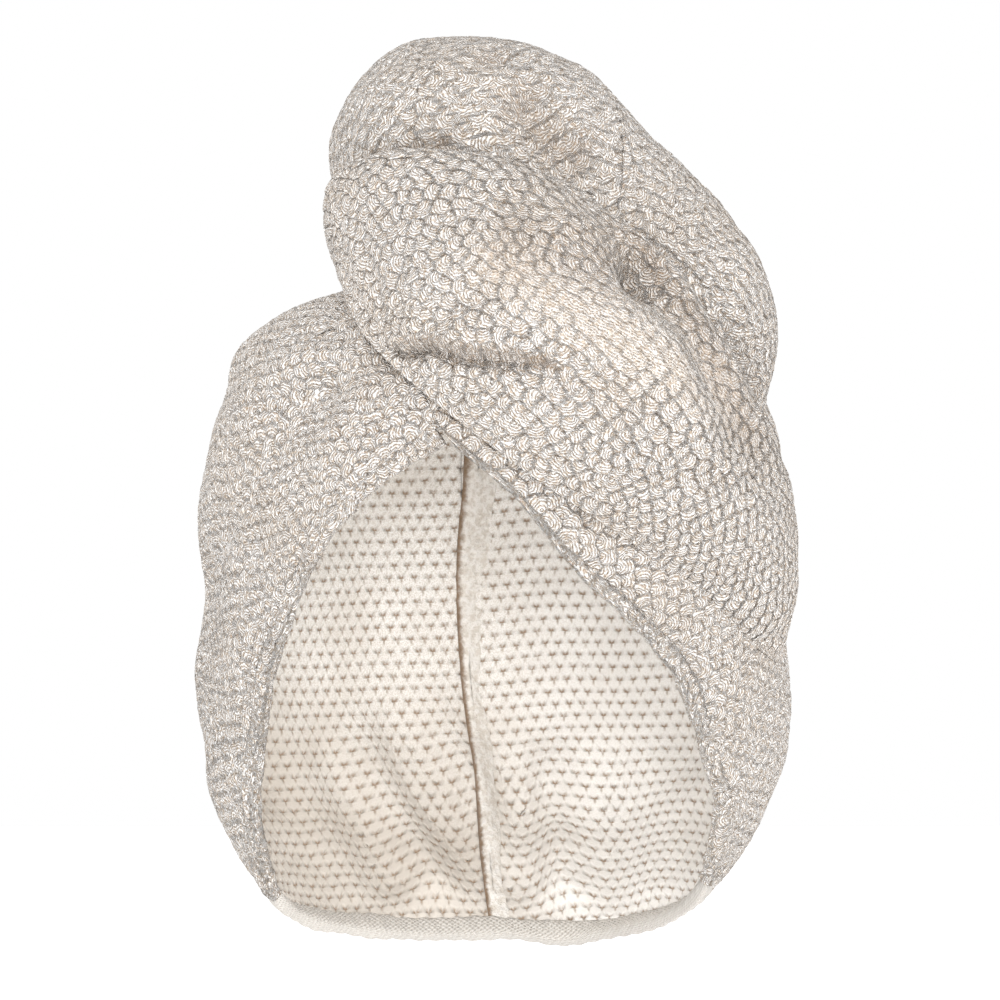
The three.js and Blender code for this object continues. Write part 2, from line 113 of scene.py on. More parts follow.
SECTIONS = Table(
    "down left right middle front back",
    [
        [0, 0, 0, -0.03, 0, 0],
        [0.03, 0.24, 0.16, -0.03, 0.14, 0.14],
        [0.068, 0.52, 0.4, -0.03, 0.44, 0.4],
        [0.127, 0.76, 0.56, -0.02, 0.69, 0.64],
        [0.19, 0.84, 0.64, -0.01, 0.86, 0.79],
        [0.244, 0.92, 0.7, 0, 0.97, 0.88],
        [0.36, 0.99, 0.78, 0.045, 1.04, 0.93],
        [0.475, 0.97, 0.88, 0.11, 1.0, 0.92],
        [0.593, 1.02, 0.9, 0.19, 0.87, 0.84],
        [0.65, 1.0, 0.9, 0.23, 0.78, 0.78],
        [0.71, 0.97, 0.87, 0.255, 0.68, 0.7],
        [0.77, 0.95, 0.8, 0.27, 0.57, 0.59],
        [0.83, 0.85, 0.71, 0.285, 0.46, 0.49],
        [0.885, 0.73, 0.57, 0.285, 0.36, 0.39],
        [0.93, 0.6, 0.44, 0.285, 0.28, 0.31],
        [0.975, 0.45, 0.31, 0.285, 0.21, 0.24],
        [1, 0.37, 0.24, 0.285, 0.18, 0.21],
    ],
)

# The edge of the cloth round the face and nape: a turn in degrees from the back, and a share of the hood's
# height. NAPE_ROW is its lowest point, and STEPS are the curve's steps for each row.
EDGE = [
    [-170, 0.263],
    [-161, 0.301],
    [-148, 0.381],
    [-138, 0.479],
    [-131, 0.61],
    [-126, 0.703],
    [-121, 0.797],
    [-112, 0.886],
    [-98, 0.941],
    [-75, 0.975],
    [-45, 0.994],
    [0, 1],
    [45, 0.996],
    [72, 0.975],
    [93, 0.943],
    [109, 0.907],
    [119, 0.864],
    [125, 0.805],
    [134, 0.729],
    [142, 0.619],
    [154, 0.525],
    [165, 0.453],
    [177, 0.347],
    [190, 0.263],
]
NAPE_ROW = 11
STEPS = 24

# Folds of the hood: from and to as a bearing and a rise in degrees, width and height as shares of the
# half width.
HOOD_FOLDS = [
    [(-24, 8), (-72, -36), 0.13, 0.06],
    [(-40, 12), (-80, -24), 0.1, -0.055],
    [(-84, -22), (-98, -30), 0.1, -0.03],
    [(78, -34), (100, -32), 0.12, -0.03],
    [(-28, 22), (-66, 10), 0.05, 0.025],
    [(-22, 14), (-52, -10), 0.05, 0.022],
    [(-125, 40), (-150, -40), 0.09, -0.04],
    [(-105, 35), (-128, -45), 0.1, 0.035],
    [(-78, 40), (-108, -28), 0.09, -0.03],
    [(104, 10), (122, -42), 0.09, -0.04],
    [(140, -10), (150, -48), 0.09, 0.035],
]


def unit(v):
    return v / np.maximum(np.linalg.norm(v, axis=-1, keepdims=True), 1e-12)


def dot(a, b):
    return (a * b).sum(axis=-1, keepdims=True)


def summed(steps, axis):
    """Running sums of steps along an axis, from 0."""
    return np.concatenate([np.zeros_like(steps.take([0], axis)), np.cumsum(steps, axis=axis)], axis=axis)


def run_along(p, axis=0):
    """How far each point of a line or grid is along it."""
    return summed(np.linalg.norm(np.diff(p, axis=axis), axis=-1), axis)


def read_between(at, x, points):
    """Points read at places between those that stand at x."""
    return np.stack([np.interp(at, x, points[:, k]) for k in range(3)], axis=-1)


def ray(bearing, rise):
    """Unit rays from the heart, in degrees. Bearing 0 is the front and 90 the right, and rise is up."""
    b, r = np.radians(bearing), np.radians(rise)
    return np.stack([np.sin(b) * np.cos(r), -np.cos(b) * np.cos(r), np.sin(r)], axis=-1)


def between(a, b, share):
    """Rays a share of the way along the arcs from a to b."""
    share = np.asarray(share)[..., None]
    angle = np.arccos(np.clip(dot(a, b), -1, 1))
    angle = np.maximum(angle, 1e-6)
    return unit(np.sin((1 - share) * angle) * a + np.sin(share * angle) * b)


def smooth(x):
    s = np.clip(x, 0, 1)
    return s * s * (3 - 2 * s)


def fold_height(d):
    height = np.zeros(d.shape[:-1])
    for start, end, width, rise in HOOD_FOLDS:
        a = ray(*start)
        line = ray(*end) - a
        along = np.clip(((d - a) @ line) / (line @ line), 0, 1)
        away = np.linalg.norm(d - (a + along[..., None] * line), axis=-1) / width
        height += rise * HALF_WIDTH * np.exp(-away * away) * np.sin(np.pi * (0.12 + 0.76 * along))
    return height


def section_point(down, turn):
    row = SECTIONS(down)
    side, back = math.sin(math.radians(turn)), math.cos(math.radians(turn))
    wide = max(float(row["left"] if side < 0 else row["right"]), 0)
    deep = max(float(row["front"] if back < 0 else row["back"]), 0)
    return np.array(
        [
            side * HALF_WIDTH * math.sqrt(wide),
            HALF_DEPTH * (float(row["middle"]) + back * math.sqrt(deep)),
            CLOTH - down * HOOD_HEIGHT,
        ]
    )


def hood_reach(d):
    """How far the hood's outside is from the heart along each ray."""
    near = np.full(d.shape[:-1], 0.1 * HALF_WIDTH)
    far = np.full(d.shape[:-1], 2 * HOOD_HEIGHT)
    for _ in range(22):
        middle = (near + far) / 2
        p = HEART + d * middle[..., None]
        down = (CLOTH - p[..., 2]) / HOOD_HEIGHT
        row = SECTIONS(down)
        y = p[..., 1] / HALF_DEPTH - row["middle"]
        x = p[..., 0] / HALF_WIDTH
        across = x**2 / np.maximum(np.where(x < 0, row["left"], row["right"]), 1e-6)
        deep = y**2 / np.maximum(np.where(y < 0, row["front"], row["back"]), 1e-6)
        outside = (down <= 0) | (across + deep > 1)
        far = np.where(outside, middle, far)
        near = np.where(outside, near, middle)
    return (near + far) / 2 + fold_height(d)


def round_curve(points, count):
    """A centripetal Catmull-Rom curve through the points, as evenly spaced points."""
    points = np.asarray(points, float)
    ends = [2 * points[0] - points[1], *points, 2 * points[-1] - points[-2]]
    dense = []
    for i in range(len(points) - 1):
        p0, p1, p2, p3 = ends[i : i + 4]
        t0 = 0.0
        t1 = t0 + np.linalg.norm(p1 - p0) ** 0.5
        t2 = t1 + np.linalg.norm(p2 - p1) ** 0.5
        t3 = t2 + np.linalg.norm(p3 - p2) ** 0.5
        t = np.linspace(t1, t2, STEPS, endpoint=i == len(points) - 2)[:, None]
        a1 = (t1 - t) / (t1 - t0) * p0 + (t - t0) / (t1 - t0) * p1
        a2 = (t2 - t) / (t2 - t1) * p1 + (t - t1) / (t2 - t1) * p2
        a3 = (t3 - t) / (t3 - t2) * p2 + (t - t2) / (t3 - t2) * p3
        b1 = (t2 - t) / (t2 - t0) * a1 + (t - t0) / (t2 - t0) * a2
        b2 = (t3 - t) / (t3 - t1) * a2 + (t - t1) / (t3 - t1) * a3
        dense.append((t2 - t) / (t2 - t1) * b1 + (t - t1) / (t2 - t1) * b2)
    dense = np.concatenate(dense)
    run = run_along(dense)
    return read_between(np.linspace(0, run[-1], count), run, dense), run


EDGE_POINTS, EDGE_RUN = round_curve([section_point(down, turn) for turn, down in EDGE], 1201)
EDGE_LENGTH = EDGE_RUN[-1]
NAPE_SHARE = EDGE_RUN[NAPE_ROW * STEPS] / EDGE_LENGTH


def edge_ray(share):
    at = np.clip(share, 0, 1) * (len(EDGE_POINTS) - 1)
    return unit(read_between(at, np.arange(len(EDGE_POINTS)), EDGE_POINTS) - HEART)


def hood_ray(round_share, down):
    """Rays at a share round the edge and a share of the way from the pole down to it."""
    round_share, down = np.broadcast_arrays(round_share, down)
    front = np.exp(-((np.minimum(round_share, 1 - round_share) / 0.07) ** 2))
    rim = edge_ray(round_share)
    d = between(np.broadcast_to(POLE, rim.shape), rim, down)
    d[..., 0] -= front * down**2 * (1 - down)
    return unit(d)


def hem_share(round_share):
    """The hem's width as a share of the way from the pole to the edge."""
    rim = edge_ray(round_share)
    angle = np.arccos(np.clip(rim @ POLE, -1, 1))
    return HEM_WIDTH / (angle * hood_reach(rim))


# The ridge of the tail over the crown and down the back, with its half width in degrees and its height
ROLL_ROWS = Table(
    "along bearing rise half lift",
    [
        [0, -68, 75, 21.5, 0.86],
        [0.06, -62, 77, 23.5, 0.9],
        [0.12, -52, 79, 26, 0.94],
        [0.18, -38, 80.5, 28, 0.965],
        [0.26, 60, 84, 29, 0.8],
        [0.34, 100, 67, 29.5, 0.585],
        [0.43, 109, 46, 28.5, 0.375],
        [0.53, 121, 23, 26, 0.23],
        [0.63, 131, 1, 23, 0.21],
        [0.73, 142, -17, 19, 0.22],
        [0.82, 155, -31, 15, 0.23],
        [0.9, 167, -41, 11, 0.22],
        [0.96, 175, -47.5, 7, 0.16],
        [1, 178.5, -51, 3.4, 0.04],
    ],
)

# The lower and upper edge of the sweep over the forehead, with their heights and the crest between them
SWEEP_ROWS = Table(
    "along lowBearing lowRise highBearing highRise lowLift crest highLift",
    [
        [0, 68, -36, 88, -38, 0, 0.02, 0],
        [0.08, 54, -32, 92, -34, 0.01, 0.08, 0.03],
        [0.2, 32, -21, 91, -22, 0.03, 0.22, 0.12],
        [0.34, 10, -8, 84, -8, 0.06, 0.44, 0.14],
        [0.46, -4, 2, 65, 4, 0.08, 0.66, 0.18],
        [0.56, -17, 12, 48, 21, 0.1, 0.84, 0.4],
        [0.66, -27, 20, 35, 38, 0.12, 0.92, 0.85],
        [0.75, -36, 28, 18, 51, 0.16, 0.94, 1.2],
        [0.84, -46, 36, -14, 56, 0.2, 0.88, 1.25],
        [0.92, -59, 42, -42, 56, 0.2, 0.6, 1.1],
        [1, -74, 47, -66, 56, 0.1, 0.2, 0.6],
    ],
)

# The middle of the grid of rays that the tail is made on, and the grid's half width in degrees
ROLL_SPINE = Table(
    "along bearing rise half",
    [
        [0, -86, 22, 30],
        [0.08, -84, 40, 36],
        [0.16, -76, 62, 40],
        [0.23, -48, 80, 42],
        [0.3, 72, 80, 42],
        [0.38, 101, 64, 41],
        [0.46, 109, 44, 38],
        [0.55, 121, 22, 34],
        [0.64, 131, 1, 30],
        [0.73, 142, -17, 26],
        [0.82, 155, -32, 21],
        [0.9, 167, -43, 17],
        [1, 178, -56, 12],
    ],
)


def route(table, count):
    """A table's line of rays, evenly shared, with the rays to its side."""
    knots = table(np.linspace(0, 1, 29))
    knots = ray(knots["bearing"], knots["rise"])
    at = np.linspace(0, 1, count)
    x = np.linspace(0, 1, len(knots))
    line = unit(np.stack([catmull(x, knots[:, k], at) for k in range(3)], axis=1))
    return at, line, unit(np.cross(unit(np.gradient(line, axis=0)), line))


def even_places(p, count, soften):
    """Where to read rows of points again for even steps, averaged over soften rows on both sides."""
    step = np.linalg.norm(np.diff(p, axis=1), axis=-1)
    width = np.arange(-soften, soften + 1)
    rows = np.clip(np.arange(len(p))[:, None] + width[None, :], 0, len(p) - 1)
    run = summed(step[rows].mean(axis=1), 1)
    run /= run[:, -1:]
    old = np.linspace(0, 1, p.shape[1])
    return np.stack([np.interp(np.linspace(0, 1, count), r, old) for r in run])


def catmull(x, y, at):
    """Uniform Catmull-Rom through (x, y), read at the given places."""
    step = x[1] - x[0]
    i = np.clip(((at - x[0]) / step).astype(int), 0, len(x) - 2)
    s = (at - x[i]) / step
    before = y[np.maximum(i - 1, 0)]
    after = y[np.minimum(i + 2, len(y) - 1)]
    return hermite(y[i], y[i + 1], (y[i + 1] - before) / 2, (after - y[i]) / 2, s)


# Creases that are seen from the front, as millimetres to the right of the middle and up from the crown
VALLEY = [(16, 47), (33, 38), (47, 21), (52, 2), (68, -19), (85, -57), (94, -71)]
DENT = [(49, 12), (52, 2), (56, -6)]
TUCK = [(-53, 35), (-40, 40), (-25, 44), (-14, 47)]
TOP_DIP = [(4, 68), (11, 53), (16, 47), (33, 38)]
TOP_NICK = [(-9, 74), (3, 76)]
CROSS_FOLD = [(-41, -26), (-25, -24), (-16, -27), (6, -29), (24, -33)]
SOFT_RIDGE = [(-25, 15), (20, -9), (68, -36), (89, -67)]
SIDE_DIP = [(52, 3), (33, 4), (13, 9), (-8, 15)]
SIDE_FOLD = [(66, 28), (72, 5), (70, -19), (64, -25)]
CHEEK_DIP = [(-58, -22), (-70, -57), (-83, -85), (-100, -112)]
LEFT_GATHERS = [
    [(-41, -27), (-58, -20), (-74, -22)],
    [(-41, -29), (-60, -36), (-82, -50)],
    [(-40, -32), (-52, -52), (-62, -84)],
    [(-38, -34), (-44, -50), (-50, -68)],
]
TWIST_GATHERS = [
    [(-42, -24), (-52, -6), (-58, 12)],
    [(-38, -22), (-46, 0), (-50, 22)],
    [(-34, -21), (-36, -4), (-34, 14)],
    [(-30, -24), (-16, -12), (4, -6)],
]


def from_line(p, line):
    """How far points are from a line seen from the front, their side of it and their share along it."""
    line = np.array(line, float)
    run = run_along(line)
    q = p[..., [0, 2]]
    best = np.full(p.shape[:-1], 1e9)
    side = np.ones(p.shape[:-1])
    share = np.zeros(p.shape[:-1])
    for k in range(len(line) - 1):
        a, way = line[k], line[k + 1] - line[k]
        along = np.clip(((q - a) @ way) / (way @ way), 0, 1)
        gap = q - (a + along[..., None] * way)
        away = np.linalg.norm(gap, axis=-1)
        nearer = away < best
        best = np.where(nearer, away, best)
        side = np.where(nearer, np.sign(way[0] * gap[..., 1] - way[1] * gap[..., 0]), side)
        share = np.where(nearer, (run[k] + along * (run[k + 1] - run[k])) / run[-1], share)
    return best, side, share


def facing(p):
    """How much a grid of points faces the front, from 0 to 1."""
    n = normals_of(p)
    out = np.sign(np.median(dot(n, p - HEART)))
    return smooth((-out * n[..., 1] - 0.1) / 0.35) * smooth((30 - p[..., 1]) / 40)


def dip(p, line, depth, width, ends=(0.0, 0.0)):
    """A soft groove along a line seen from the front. ends are the shares of its depth left at its ends."""
    away, _, share = from_line(p, line)
    fade = ends[0] + (1 - ends[0]) * smooth(share / 0.3)
    fade = fade * (ends[1] + (1 - ends[1]) * smooth((1 - share) / 0.3))
    return -depth * fade * facing(p) * np.exp(-((away / width) ** 2))


def overlap(p, line, rise, wide, depth, narrow):
    """A fold over the cloth on a line's right: a rounded rise on its left and a dark crease below."""
    away, side, share = from_line(p, line)
    fade = smooth(share / 0.2 + 0.3) * smooth((1 - share) / 0.45)
    over = rise * np.exp(-away / wide) * (1 - 0.6 * np.exp(-away / (0.3 * narrow)))
    under = -depth * np.exp(-((away / narrow) ** 2))
    return fade * facing(p) * np.where(side > 0, over, under)


def painted_fold_shade(p, lines):
    """How much painted shade points get in folds, from 0 to 1, by lines with their widths and depths."""
    deep = np.zeros(p.shape[:-1])
    for line, width, depth in lines:
        away, _, share = from_line(p, line)
        ends = smooth(share / 0.15) * smooth((1 - share) / 0.15)
        deep = np.maximum(deep, depth * ends * np.exp(-((away / width) ** 2)))
    return deep * facing(p)


def waves(p, scale, seed, count=7):
    """Smooth noise from about -1 to 1 at points p, the same on each run: sines in waves about scale long."""
    rng = np.random.default_rng(seed)
    total = np.zeros(p.shape[:-1])
    for _ in range(count):
        way = unit(rng.normal(size=3)) * 2 * np.pi / (scale * rng.uniform(0.7, 1.5))
        total += np.sin(p @ way + rng.uniform(0, 6.28))
    return total / math.sqrt(count / 2) / 1.6


# Points across and along the fine grid of each piece's face, and of the coarser grid of its back
HOOD_GRIDS = ((360, 225), (46, 30))
LINING_GRIDS = ((250, 200), (40, 32))
ROLL_GRIDS = ((380, 212), (61, 31))
SWEEP_GRIDS = ((365, 222), (58, 34))

# How far the gaps between the loops lie below the cloth's plain surface, in millimetres
LOOP_FOOT = 0.7


def normals_of(p):
    """Normals of a grid of points, from its differences."""
    return unit(np.cross(np.gradient(p, axis=0), np.gradient(p, axis=1)))


def strip(fine, coarse, flip):
    """Triangles between a fine row of point numbers and a coarse one, whose ends line up."""
    faces = []
    a, b = 0, 0
    last_a, last_b = len(fine) - 1, len(coarse) - 1
    while a < last_a or b < last_b:
        if b == last_b or (a < last_a and (a + 1) / last_a <= (b + 1) / last_b):
            face = (fine[a], fine[a + 1], coarse[b])
            a += 1
        else:
            face = (fine[a], coarse[b + 1], coarse[b])
            b += 1
        faces.append(face[::-1] if flip else face)
    return faces


def add_values(mesh, name, values, domain):
    """Keeps rows of one or three numbers on a mesh under a name."""
    vector = values.shape[1] == 3
    layer = mesh.attributes.new(name, "FLOAT_VECTOR" if vector else "FLOAT", domain)
    layer.data.foreach_set("vector" if vector else "value", values.astype(np.float32).ravel())


def placed(name, mesh):
    """A smooth piece with a mesh, in the scene."""
    mesh.shade_smooth()
    piece = bpy.data.objects.new(name, mesh)
    bpy.context.scene.collection.objects.link(piece)
    return piece


def resampled(grid, mi, mj):
    """A grid read at fewer points, ends kept."""
    i = np.linspace(0, grid.shape[0] - 1, mi).round().astype(int)
    j = np.linspace(0, grid.shape[1] - 1, mj).round().astype(int)
    return grid[np.ix_(i, j)]


def shell(name, face, back, attributes):
    """A closed piece of cloth: a fine grid of points as its face, and a coarser one as its back.

    The face's normals point out for i across and j along. attributes holds grids of the face's values by
    name, which the back takes from nearby.
    """
    ni, nj = face.shape[:2]
    mi, mj = back.shape[:2]
    points = np.concatenate([face.reshape(-1, 3), back.reshape(-1, 3)])
    f = np.arange(ni * nj).reshape(ni, nj)
    b = np.arange(mi * mj).reshape(mi, mj) + ni * nj
    front = np.stack([f[:-1, :-1], f[1:, :-1], f[1:, 1:], f[:-1, 1:]], axis=-1).reshape(-1, 4)
    rear = np.stack([b[:-1, :-1], b[:-1, 1:], b[1:, 1:], b[1:, :-1]], axis=-1).reshape(-1, 4)
    rims = np.array(
        strip(f[:, 0], b[:, 0], True)
        + strip(f[:, -1], b[:, -1], False)
        + strip(f[0, :], b[0, :], False)
        + strip(f[-1, :], b[-1, :], True)
    )
    mesh = bpy.data.meshes.new(name)
    quads = np.concatenate([front, rear])
    loops = np.concatenate([quads.ravel(), rims.ravel()])
    starts = np.concatenate([np.arange(len(quads)) * 4, len(quads) * 4 + np.arange(len(rims)) * 3])
    mesh.vertices.add(len(points))
    mesh.vertices.foreach_set("co", (points * MM).ravel())
    mesh.loops.add(len(loops))
    mesh.loops.foreach_set("vertex_index", loops)
    mesh.polygons.add(len(starts))
    mesh.polygons.foreach_set("loop_start", starts)
    mesh.update(calc_edges=True)
    mesh.validate()
    for key, values in attributes.items():
        rest = resampled(values, mi, mj)
        rows = np.concatenate([values.reshape(ni * nj, -1), rest.reshape(mi * mj, -1)])
        add_values(mesh, key, rows, "POINT")
    return placed(name, mesh)


# The weave. Cloth lengths along and across a grid give staggered rows of cells, and each cell's middle is
# then found in space, so the cells stay round where the cloth is drawn together. Middles nearer than CROWDED
# are left out. Of TRIES points, those at least ROOMY from the others are added. Both are shares of the pitch.
CROWDED = 0.7
ROOMY = 0.86
TRIES = 14000


def nearest_two(points, middles):
    """The nearest middle to each point, and the distances to it and to the next one."""
    tree = KDTree(len(middles))
    for k, middle in enumerate(middles.tolist()):
        tree.insert(middle, k)
    tree.balance()
    found = [tree.find_n(co, 2) for co in points.tolist()]
    nearest = np.array([pair[0][1] for pair in found])
    return nearest, np.array([pair[0][2] for pair in found]), np.array([pair[1][2] for pair in found])


def evened(middles, points, apart, rng):
    """Middles with the crowded ones left out, and more of the points added where there are none."""
    kept = {}

    def free(place, gap):
        a, b, c = (int(math.floor(x / apart)) for x in place)
        for i in (a - 1, a, a + 1):
            for j in (b - 1, b, b + 1):
                for k in (c - 1, c, c + 1):
                    for other in kept.get((i, j, k), ()):
                        if math.dist(place, other) < gap:
                            return False
        kept.setdefault((a, b, c), []).append(place)
        return True

    for middle in middles.tolist():
        free(middle, CROWDED * apart)
    for point in points[rng.permutation(len(points))[:TRIES]].tolist():
        free(point, ROOMY * apart)
    return np.array([place for places in kept.values() for place in places])


def weave(p, lengths, pitch, seed, flat=False):
    """Loops of the outside cloth on a grid p with its lengths in mm.

    Gives each point's place in its loop as a share of the pitch, with the loop's own number from 0 to 1, and
    how far the point is from the next loop. flat spaces the loops by the lengths alone.
    """
    s = lengths[0] + 2.0 * waves(p, 34, seed) + 300
    t = lengths[1] + 2.0 * waves(p, 34, seed + 1) + 300
    row_height = pitch * 0.87
    row = np.floor(t / row_height).astype(int)
    column = np.floor(s / pitch + 0.5 * (row % 2)).astype(int)
    _, cell = np.unique((row * 100003 + column).ravel(), return_inverse=True)
    points = np.stack([s, t, 0 * s], axis=-1).reshape(-1, 3) if flat else p.reshape(-1, 3)
    size = np.linalg.norm(np.cross(np.gradient(p, axis=0), np.gradient(p, axis=1)), axis=-1).ravel()
    rng = np.random.default_rng(seed)
    for turn in range(3):
        area = np.maximum(np.bincount(cell, size), 1e-9)
        middle = np.stack([np.bincount(cell, size * points[:, k]) / area for k in range(3)], axis=1)
        if turn == 0:
            middle = evened(middle[area > 0.25 * pitch * row_height], points, pitch, rng)
        if turn < 2:
            middle += rng.normal(size=middle.shape) * pitch * 0.09
        cell, first, second = nearest_two(points, middle)
    own = rng.uniform(size=len(middle))
    along = unit(np.gradient(points.reshape(p.shape), axis=0)).reshape(-1, 3)
    across = np.gradient(points.reshape(p.shape), axis=1).reshape(-1, 3)
    across = unit(across - along * dot(across, along))
    offset = (points - middle[cell]) / pitch
    place = np.concatenate([dot(offset, along), dot(offset, across), own[cell][:, None]], axis=1)
    return {"place": place.reshape(p.shape), "seam": ((second - first) / pitch).reshape(p.shape[:2])}


def pebble(cells):
    """Height from 0 to 1 of the outside weave: round loops, highest on their upper side, with narrow gaps."""
    x, y, own = (cells["place"][..., k] for k in range(3))
    gap = smooth(cells["seam"] / 0.36) ** 0.6
    gap = 1 - (1 - gap) * (0.45 + 0.55 * smooth((y + 0.25) / 0.4))
    turn = own * 2.4 - 1.2
    lean = x * np.sin(turn) - y * np.cos(turn)
    dimple = np.exp(-((x * x + y * y) / 0.03)) * 0.16
    return gap * (0.85 + 0.4 * lean) - dimple * gap


def scallop(cloth, pitch, row_height):
    """Height from 0 to 1 of the lining's weave: staggered rows of rounded scales, with a pit at each tip."""
    t = cloth[..., 1] / row_height
    row = np.floor(t)
    x = np.abs((cloth[..., 0] / pitch + 0.5 * (row % 2)) % 1 - 0.5)
    y = t - row
    arm = np.exp(-(((y - 1 + 0.9 * x) / 0.2) ** 2)) * smooth((0.4 - x) / 0.25)
    stem = np.exp(-(((0.5 - x) / 0.13) ** 2)) * smooth((0.5 - y) / 0.5)
    return 1 - np.maximum(arm, stem)


# Shader maths. TURN is a whole turn in radians, for patterns of sines.
TURN = 6.283


class Socket:
    """A shader socket, so that sums on sockets add their nodes."""

    def __init__(self, finish, link, colour=False):
        self.finish = finish
        self.link = link
        self.colour = colour

    def _maths(self, operation, *others):
        if self.colour or any(isinstance(o, Socket) and o.colour for o in others):
            settings = {"operation": operation}
            return self.finish.node("ShaderNodeVectorMath", settings, [self, *others], "Vector", colour=True)
        return self.finish.node("ShaderNodeMath", {"operation": operation}, [self, *others], "Value")

    def __add__(self, other):
        return self._maths("ADD", other)

    __radd__ = __add__

    def __sub__(self, other):
        return self._maths("SUBTRACT", other)

    def __rsub__(self, other):
        return self.finish.node("ShaderNodeMath", {"operation": "SUBTRACT"}, [other, self], "Value")

    def __mul__(self, other):
        return self._maths("MULTIPLY", other)

    __rmul__ = __mul__

    def __truediv__(self, other):
        return self._maths("DIVIDE", other)

    def sine(self):
        return self._maths("SINE")

    def root(self):
        return self._maths("SQRT")

    def floor(self):
        return self._maths("FLOOR")

    def fraction(self):
        return self._maths("FRACT")

    def size(self):
        return self._maths("ABSOLUTE")

    def clamped(self):
        return self.finish.node("ShaderNodeClamp", {}, {"Value": self}, "Result")

    def ramp(self, low, high, to_low=0.0, to_high=1.0):
        values = {"Value": self, "From Min": low, "From Max": high, "To Min": to_low, "To Max": to_high}
        return self.finish.node("ShaderNodeMapRange", {"interpolation_type": "SMOOTHSTEP"}, values, "Result")


class Finish:
    """A node material with one Principled shader."""

    def __init__(self, name):
        self.material = bpy.data.materials.new(name)
        self.material.use_nodes = True
        self.tree = self.material.node_tree
        self.shader = self.tree.nodes["Principled BSDF"]

    def node(self, kind, settings, values, output=0, colour=False):
        """Adds a node of a type with its settings, then its values or links, and gives one output."""
        made = self.tree.nodes.new(kind)
        for key, value in settings.items():
            setattr(made, key, value)
        pairs = values.items() if isinstance(values, dict) else enumerate(values)
        for key, value in pairs:
            socket = made.inputs[key]
            if isinstance(value, Socket):
                self.tree.links.new(value.link, socket)
            elif hasattr(socket.default_value, "__len__") and not hasattr(value, "__len__"):
                socket.default_value = [value] * len(socket.default_value)
            else:
                socket.default_value = value
        return Socket(self, made.outputs[output], colour)

    def attribute(self, name, output="Fac"):
        made = self.tree.nodes.new("ShaderNodeAttribute")
        made.attribute_name = name
        return Socket(self, made.outputs[output], output == "Vector")

    def maximum(self, a, b):
        return self.node("ShaderNodeMath", {"operation": "MAXIMUM"}, [a, b], "Value")

    def parts(self, vector):
        made = self.tree.nodes.new("ShaderNodeSeparateXYZ")
        self.tree.links.new(vector.link, made.inputs[0])
        return [Socket(self, made.outputs[k]) for k in range(3)]

    def place(self):
        """The object's own coordinates, in millimetres."""
        coordinates = self.node("ShaderNodeTexCoord", {}, {}, "Object", colour=True)
        values = {"Vector": coordinates, "Scale": 1 / MM}
        return self.node("ShaderNodeVectorMath", {"operation": "SCALE"}, values, "Vector", colour=True)

    def noise(self, place, size, detail=2.0, rough=0.5):
        """Noise of about size millimetres, from 0 to 1."""
        values = {"Vector": place, "Scale": 1 / size, "Detail": detail, "Roughness": rough}
        return self.node("ShaderNodeTexNoise", {}, values, "Fac")

    def mix(self, share, a, b):
        """A colour a share of the way from a to b."""
        made = self.tree.nodes.new("ShaderNodeMix")
        made.data_type = "RGBA"
        for key, value in ((0, share), (6, a), (7, b)):
            if isinstance(value, Socket):
                self.tree.links.new(value.link, made.inputs[key])
            elif key == 0:
                made.inputs[key].default_value = value
            else:
                made.inputs[key].default_value = (*value, 1)
        return Socket(self, made.outputs[2], True)

    def set(self, name, value):
        socket = self.shader.inputs[name]
        if isinstance(value, Socket):
            self.tree.links.new(value.link, socket)
        else:
            socket.default_value = (*value, 1) if hasattr(value, "__len__") and len(value) == 3 else value

    def bump(self, height, depth):
        """Bump of a height from 0 to 1, depth metres deep."""
        values = {"Height": height, "Distance": depth, "Strength": 1.0}
        self.set("Normal", self.node("ShaderNodeBump", {}, values, "Normal", colour=True))

    def as_cloth(self, shade, height, depth, rough=0.9, sheen=0.2):
        """The finish as dull cloth of a shade, with a bump."""
        self.set("Base Color", shade)
        self.set("Roughness", rough)
        self.set("Specular IOR Level", 0.25)
        self.set("Sheen Weight", sheen)
        self.bump(height, depth)
        return self.material


